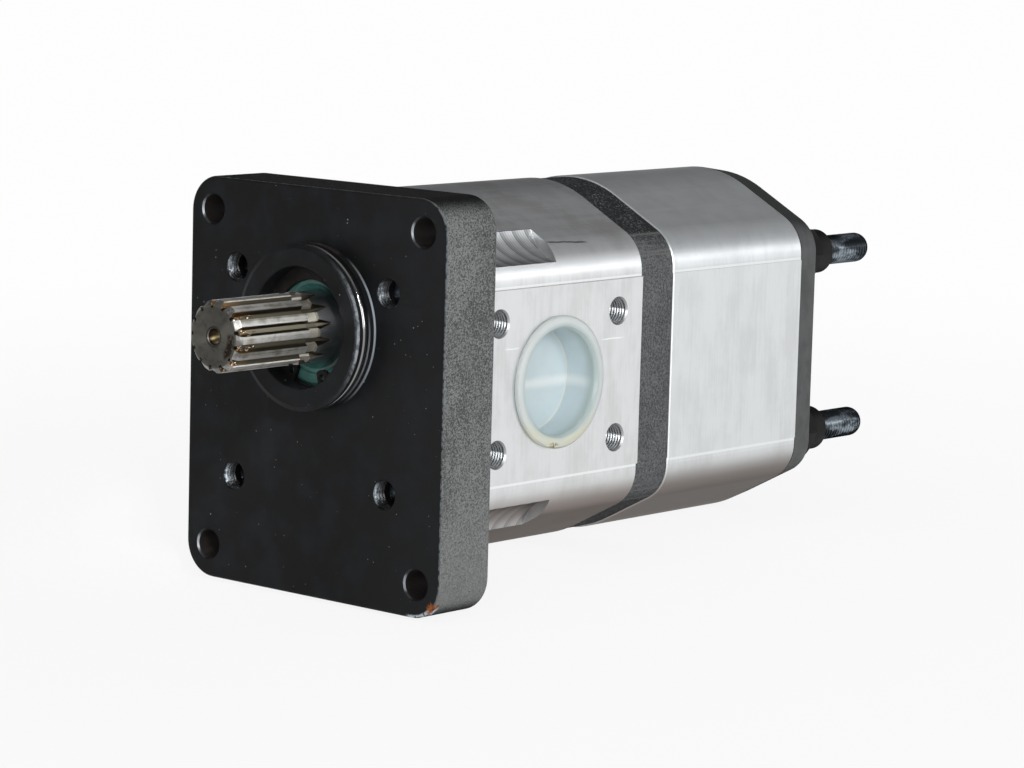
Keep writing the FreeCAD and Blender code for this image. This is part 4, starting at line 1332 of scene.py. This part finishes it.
@dataclass
class SplineGrease:
    """Lumps of dirty grease with metal flakes at the front of the spline and on its rim."""

    gap_count: int = 150
    rim_count: int = 190
    seed: int = 7
    pushed_below: float = 35.0
    pushed_width: float = 55.0
    rings: int = 6
    columns: int = 8
    finish: GreaseFinish = GreaseFinish()

    def placed(self, chance: np.random.Generator) -> tuple[np.ndarray, np.ndarray, np.ndarray]:
        """Angles, radii and distances along the shaft of the lumps.

        In the gaps an angle is a gap's middle plus a little chance, and a gap is picked more often
        the nearer its angle is to where the grease was pushed aside, below the right. On
        the rim an angle is a tooth's middle plus a little chance, which makes a bump of each tooth.

        Args:
            chance: the seeded source of chance.

        Returns:
            The three arrays.
        """
        gaps = TOOTH_PHASE + np.arange(TEETH) * 360.0 / TEETH
        away = (gaps + self.pushed_below + 180.0) % 360.0 - 180.0
        weight = np.exp(-(away / self.pushed_width) ** 2) + 0.10
        gap = chance.choice(gaps, self.gap_count, p=weight / weight.sum())
        gap = gap + chance.normal(0.0, 3.2, self.gap_count)
        gap_radius = 0.0093 + 0.0011 * chance.random(self.gap_count) ** 2
        gap_along = SHAFT_FRONT + 0.0006 + 0.0078 * chance.random(self.gap_count) ** 1.8
        tooth = gaps + 180.0 / TEETH
        rim = chance.choice(tooth, self.rim_count) + chance.normal(0.0, 4.2, self.rim_count)
        rim_radius = 0.0088 + 0.0013 * chance.random(self.rim_count)
        rim_along = SHAFT_FRONT + 0.0003 + np.maximum(rim_radius - 0.0091, 0.0) * 0.9
        return (np.radians(np.concatenate([gap, rim])), np.concatenate([gap_radius, rim_radius]),
                np.concatenate([gap_along, rim_along]))

    def build(self) -> Object:
        """Builds the lumps as small balls, those in the gaps drawn out along the shaft.

        A ball's point is its centre plus its half sizes times the unit sphere's point at two
        angles.

        Returns:
            The new piece.
        """
        chance = np.random.default_rng(self.seed)
        turn, reach, along = self.placed(chance)
        half = 0.00012 + 0.00030 * chance.random((self.gap_count + self.rim_count, 3)) ** 1.8
        half[:self.gap_count, 1] *= 2.4
        half[self.gap_count:] *= (1.5, 1.1, 1.5)
        along = np.maximum(along, SHAFT_FRONT + half[:, 1])
        centre = np.stack([reach * np.cos(turn), along, reach * np.sin(turn)], 1)
        around, down = Sheet.round_grid(self.columns, np.linspace(0, np.pi, self.rings))
        ball = np.stack([np.sin(down) * np.cos(around), np.cos(down), np.sin(down) * np.sin(around)], -1)
        points = centre[:, None, None, :] + half[:, None, None, :] * ball[None]
        piece = Sheet.piece("spline_grease", points, True, 180.0)
        piece.data.materials.append(self.finish.material())
        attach(piece, DRIVE_LINE)
        return piece


def dress_nodes(material: Material, *nodes: str) -> None:
    """Gives CAD nodes one material in place of their plain ones.

    Args:
        material: the finish.
        *nodes: the nodes' names.
    """
    for node in nodes:
        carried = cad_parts[node]
        if not carried.material_slots:
            carried.data.materials.append(material)
        for slot in carried.material_slots:
            slot.material = material
        log.info("dressed %s", node)


@dataclass
class Housing:
    """Flange, bodies, plate and cover, which keep their solids and get their finishes."""

    suction_half_y: float = 0.028
    suction_half_z: float = 0.020
    pressure_half: float = 0.020 / math.sqrt(2.0)
    screw_radius: float = 0.004
    screw_mouth: float = 0.0006
    screw_length: float = 0.0118
    screw: Thread = Thread(0.00105, 0.00030)
    tapped_radius: float = 0.0045
    tapped_mouth: float = 0.0003
    tapped_length: float = 0.0054
    tapped: Thread = Thread(0.0012, 0.00042)

    def port_threads(self, port: str, axis: Along, y: float, half_y: float, half_z: float) -> ThreadLining:
        """The threads of the four screw holes round a port, at equal distances from its middle.

        Args:
            port: the port's name.
            axis: its outward direction.
            y: its middle.
            half_y: half the holes' spacing along the body.
            half_z: half their upright spacing.

        Returns:
            The threads, not yet built.
        """
        x = axis.value[0] * PORT_FACE
        centres = [(x, y + a * half_y, MIDDLE_Z + b * half_z) for a in (-1, 1) for b in (-1, 1)]
        return ThreadLining(f"{port}_port_threads", "body_aluminium", axis, centres, self.screw_radius,
                            self.screw_mouth, self.screw_length, self.screw)

    def dress(self, bolts: TieBolts) -> list[Object]:
        """Gives each casing its finish and lines its threaded holes.

        Args:
            bolts: the tie bolts, whose axes the flange's tapped holes share.

        Returns:
            The new pieces.
        """
        front = BodyAluminium("front_body_aluminium", marked=True)
        # The rear body's painted reflection on faces that look down is darker and reaches further up.
        rear = BodyAluminium("rear_body_aluminium", colour=(0.78, 0.805, 0.815), dull=(0.69, 0.71, 0.72),
                             smeared=(0.76, 0.77, 0.775), grime_and_painted_reflection=(0.29, 0.265, 0.25),
                             edge_tint=(0.27, 0.27, 0.275), painted_reflection_from=0.14)
        for finish, node in ((front, "front_body"), (rear, "rear_body"), (FlangeCoating(), "mounting_flange"),
                             (PlateSkin(), "intermediate_plate"), (CoverPaint("cover_paint"), "rear_cover")):
            dress_nodes(finish.material(), node)
        suction_cut = PortThreadAluminium("suction_thread_aluminium", self.suction_half_z).material()
        pressure_cut = PortThreadAluminium("pressure_thread_aluminium", self.pressure_half).material()
        suction = self.port_threads("suction", Along.RIGHT, FRONT_PORT_Y,
                                    self.suction_half_y, self.suction_half_z)
        pieces = [suction.build(suction_cut)]
        for port, y in (("front_pressure", FRONT_PORT_Y), ("rear_pressure", REAR_PORT_Y)):
            pressure = self.port_threads(port, Along.LEFT, y, self.pressure_half, self.pressure_half)
            pieces.append(pressure.build(pressure_cut))
        tapped = ThreadLining("flange_tapped_threads", "blackened_steel", Along.FRONT, bolts.centres(),
                              self.tapped_radius, self.tapped_mouth, self.tapped_length, self.tapped)
        return pieces + [tapped.build(TappedSteel().material())]


@dataclass
class ShaftGroup:
    """The drive shaft and its seal."""

    seal: SealRubber = SealRubber("teal_seal_rubber", shaded=True)
    ring: SealRubber = SealRubber("black_ring_rubber", (0.006, 0.0065, 0.0075), roughness=0.22,
                                  ring_pitch=0.004, oil=1.0, coat_index=2.6, waves=0.00002)
    clip: ClipSteel = ClipSteel()
    spring: InnerFinish = InnerFinish("bright_spring_wire", (0.6, 0.6, 0.6), 0.3, 1.0)

    def dress(self) -> None:
        """Gives the shaft, the seal, the ring, the clip and the spring their finishes."""
        for finish, node in ((ShaftSteel(), "drive_shaft"), (self.seal, "shaft_seal"),
                             (self.ring, "pilot_o_ring"), (self.clip, "seal_retaining_ring"),
                             (self.spring, "seal_garter_spring")):
            dress_nodes(finish.material(), node)


@dataclass
class HiddenParts:
    """The pieces inside the pump."""

    gear: InnerFinish = InnerFinish("ground_gear_steel", (0.52, 0.52, 0.53), 0.28, 1.0)
    block: InnerFinish = InnerFinish("machined_block_aluminium", (0.72, 0.72, 0.73), 0.34, 1.0)
    sleeve: InnerFinish = InnerFinish("sintered_bronze", (0.52, 0.34, 0.16), 0.4, 1.0)
    rubber: SealRubber = SealRubber("inner_black_rubber", (0.012, 0.012, 0.012), 0.35, 0.002)
    strip: InnerFinish = InnerFinish("white_backup_strip", (0.78, 0.76, 0.7), 0.45, 0.0)

    def dress(self) -> None:
        """Gives gears, blocks, sleeves, seals and dowels their finishes."""
        dress_nodes(self.gear.material(), "front_driven_gear", "rear_drive_gear", "rear_driven_gear",
                    "shaft_coupling", "dowel_pins")
        dress_nodes(self.block.material(), "front_section_front_block", "front_section_rear_block",
                    "rear_section_front_block", "rear_section_rear_block")
        dress_nodes(self.sleeve.material(), "bearing_sleeves")
        dress_nodes(self.rubber.material(), "pressure_seals", "body_seals")
        dress_nodes(self.strip.material(), "pressure_seal_backups")


@dataclass
class Plugs:
    """The shipping plugs in the three ports."""

    small_lip_middle: float = 0.0105

    def dress(self) -> None:
        """Gives the plugs their milky plastic."""
        dress_nodes(MilkyPlastic("milky_plug_plastic").material(FRONT_PORT_Y), "suction_port_plug")
        for port, port_y in (("front", FRONT_PORT_Y), ("rear", REAR_PORT_Y)):
            node = f"{port}_pressure_port_plug"
            small = MilkyPlastic(f"{node}_plastic", lip_middle=self.small_lip_middle)
            dress_nodes(small.material(port_y), node)


@dataclass
class NutGroup:
    """Nuts and washers behind the cover."""

    paint: CoverPaint = CoverPaint("nut_paint", (0.0135, 0.0132, 0.0130), gloss=0.12, roughness=0.5)

    def dress(self) -> None:
        """Gives nuts and washers their darker paint."""
        dress_nodes(self.paint.material(), "tie_bolt_nuts", "tie_bolt_washers")


@dataclass
class Studio:
    """Pale floor, soft light and the camera."""

    camera_place: tuple[float, float, float] = (0.77368, -0.79931, 0.13950)
    yaw: float = 40.96
    pitch: float = 7.97
    roll: float = 1.56
    focal_length: float = 130.35
    flange_foot: tuple[float, float] = (0.021, -0.08325)
    body_foot: tuple[float, float] = (0.1861, -0.0752)
    floor_gap: float = 0.00005
    floor_reach: float = 30.0
    floor_paint: Colour = (0.82, 0.82, 0.82)
    backdrop: tuple[tuple[float, float], ...] = ((0.08, 1.0), (1.0, 0.22), (0.36, 0.46), (0.66, 0.30))
    bright_side: tuple[float, float, float] = (0.70, 0.71, 0.0)
    diffuse_level: float = 0.62

    def camera(self) -> None:
        """Places the camera: rolled about its view, lifted, and turned about the upright."""
        turns = ((self.yaw, "Z"), (90.0 - self.pitch, "X"), (self.roll, "Z"))
        yaw, pitch, roll = (Matrix.Rotation(math.radians(degrees), 4, axis) for degrees, axis in turns)
        lens = bpy.data.cameras.new("camera")
        lens.lens = self.focal_length
        lens.sensor_width = 36.0
        lens.clip_end = 100.0
        camera = bpy.data.objects.new("camera", lens)
        camera.matrix_world = Matrix.Translation(self.camera_place) @ yaw @ pitch @ roll
        bpy.context.scene.collection.objects.link(camera)
        bpy.context.scene.camera = camera

    def floor(self) -> Object:
        """Builds the floor: a flat grid through the flange's foot and the rear body's foot.

        Returns:
            The floor.
        """
        (y0, z0), (y1, z1) = self.flange_foot, self.body_foot
        slope = (z1 - z0) / (y1 - y0)
        line = np.linspace(-1, 1, 9) * self.floor_reach
        across, along = np.meshgrid(line, line)
        points = np.stack([across, along, z0 - self.floor_gap + slope * (along - y0)], -1)[None]
        floor = Sheet.piece("studio_floor", points, False)
        floor.data.materials.append(self.floor_material())
        return floor

    @staticmethod
    def seen_share(graph: Graph) -> Field:
        """One for rays from the camera, from gloss and through glass, and zero for diffuse light.

        Args:
            graph: the node tree.

        Returns:
            The share.
        """
        path = graph.node("LightPath", {}).outputs
        camera, gloss, glass = (Field(graph, path[name])
                                for name in ("Is Camera Ray", "Is Glossy Ray", "Is Transmission Ray"))
        return camera.larger(gloss).larger(glass)

    def floor_material(self) -> Material:
        """White floor that glows a little where it is seen, so it is pale and keeps the shadow.

        Returns:
            The material.
        """
        material = bpy.data.materials.new("pale_floor")
        material.use_nodes = True
        graph = Graph(material.node_tree)
        graph.nodes.remove(graph.nodes["Principled BSDF"])
        matt = graph.output("BsdfDiffuse", 0, {"Color": self.floor_paint})
        glow = graph.output("Emission", 0, {"Color": (1.0, 1.0, 1.0), "Strength": 1.0})
        place = graph.output("TexCoord", "Object", {})
        away = graph.output("VectorMath", "Value", {0: place}, operation="LENGTH")
        share = self.seen_share(graph) * away.band(0.12, 0.75, 0.88, 0.98)
        both = graph.output("MixShader", 0, {0: share, 1: matt, 2: glow})
        graph.feed(graph.nodes["Material Output"].inputs["Surface"], both)
        return material

    def world(self) -> None:
        """Sets up the backdrop: white round the horizon, and greyer overhead and to the left."""
        world = bpy.data.worlds.new("studio_world")
        world.use_nodes = True
        bpy.context.scene.world = world
        graph = Graph(world.node_tree)
        graph.nodes.clear()
        direction = graph.output("TexCoord", "Generated", {})
        height = direction.parts()[2]
        ramp = graph.node("ValToRGB", {0: height})
        ramp.color_ramp.interpolation = "EASE"
        stops = ramp.color_ramp.elements
        for stop, (place, grey) in zip((stops[0], stops[1], stops.new(0.5), stops.new(0.5)), self.backdrop):
            stop.position, stop.color = place, (grey, grey * 1.01, grey * 1.03, 1.0)
        tone = Field(graph, ramp.outputs["Color"])
        sides = {0: direction, 1: self.bright_side}
        toward = graph.output("VectorMath", "Value", sides, operation="DOT_PRODUCT")
        level = toward.band(-0.2, 0.9, 0.42, 1.0).larger(height.band(0.10, 0.22, 1.0, 0.0, "LINEAR"))
        seen = graph.output("Background", 0, {"Color": tone, "Strength": level})
        diffuse = graph.output("Background", 0, {"Color": tone, "Strength": self.diffuse_level})
        both = graph.output("MixShader", 0, {0: self.seen_share(graph), 1: diffuse, 2: seen})
        graph.node("OutputWorld", {"Surface": both})

    @staticmethod
    def softbox(name: str, place: Place, size: tuple[float, float], power: float,
                target: Place = (0.0, 0.08, -0.02), spread: float = 180.0) -> None:
        """Adds a soft lamp.

        Args:
            name: the lamp's name.
            place: where it stands.
            size: its width and height.
            power: its power in watts.
            target: what it faces, by default the pump's middle.
            spread: the beam's angle in degrees.
        """
        data = bpy.data.lights.new(name, "AREA")
        data.shape = "RECTANGLE"
        data.size, data.size_y = size
        data.energy = power
        data.spread = math.radians(spread)
        lamp = bpy.data.objects.new(name, data)
        aim = (Vector(target) - Vector(place)).to_track_quat("-Z", "Y").to_matrix().to_4x4()
        lamp.matrix_world = Matrix.Translation(place) @ aim
        bpy.context.scene.collection.objects.link(lamp)

    def light(self) -> None:
        """Sets up lamps at the right, by the camera, low behind the right side and top left, and a spot."""
        self.softbox("right_softbox", (1.9, -0.1, 0.52), (1.0, 0.8), 15.0)
        self.softbox("camera_softbox", (1.10, -1.35, 0.40), (0.8, 0.8), 12.5)
        self.softbox("shaft_spot", (0.35, -0.30, 0.28), (0.05, 0.05), 0.017, (0.0, -0.030, 0.0), 12.0)
        self.softbox("low_strip", (1.35, 1.55, 0.37), (1.4, 0.22), 1.8)
        self.softbox("top_left_softbox", (-0.9, -1.1, 1.5), (1.0, 1.0), 3.0)

    def build(self) -> None:
        """Sets up the whole studio."""
        self.camera()
        self.floor()
        self.world()
        self.light()
        bpy.context.scene.view_settings.view_transform = "Standard"


def main() -> None:
    """Builds the sub-assemblies in order and reports each new piece."""
    logging.basicConfig(level=logging.INFO, format="%(name)s: %(message)s")
    Studio().build()
    bolts = TieBolts()
    pieces = Housing().dress(bolts)
    pieces.append(bolts.build())
    pieces.append(SplineGrease().build())
    for group in (ShaftGroup(), HiddenParts(), Plugs(), NutGroup()):
        group.dress()
    for piece in pieces:
        log.info("built %s with %d faces", piece.name, len(piece.data.polygons))


if __name__ == "__main__":
    main()
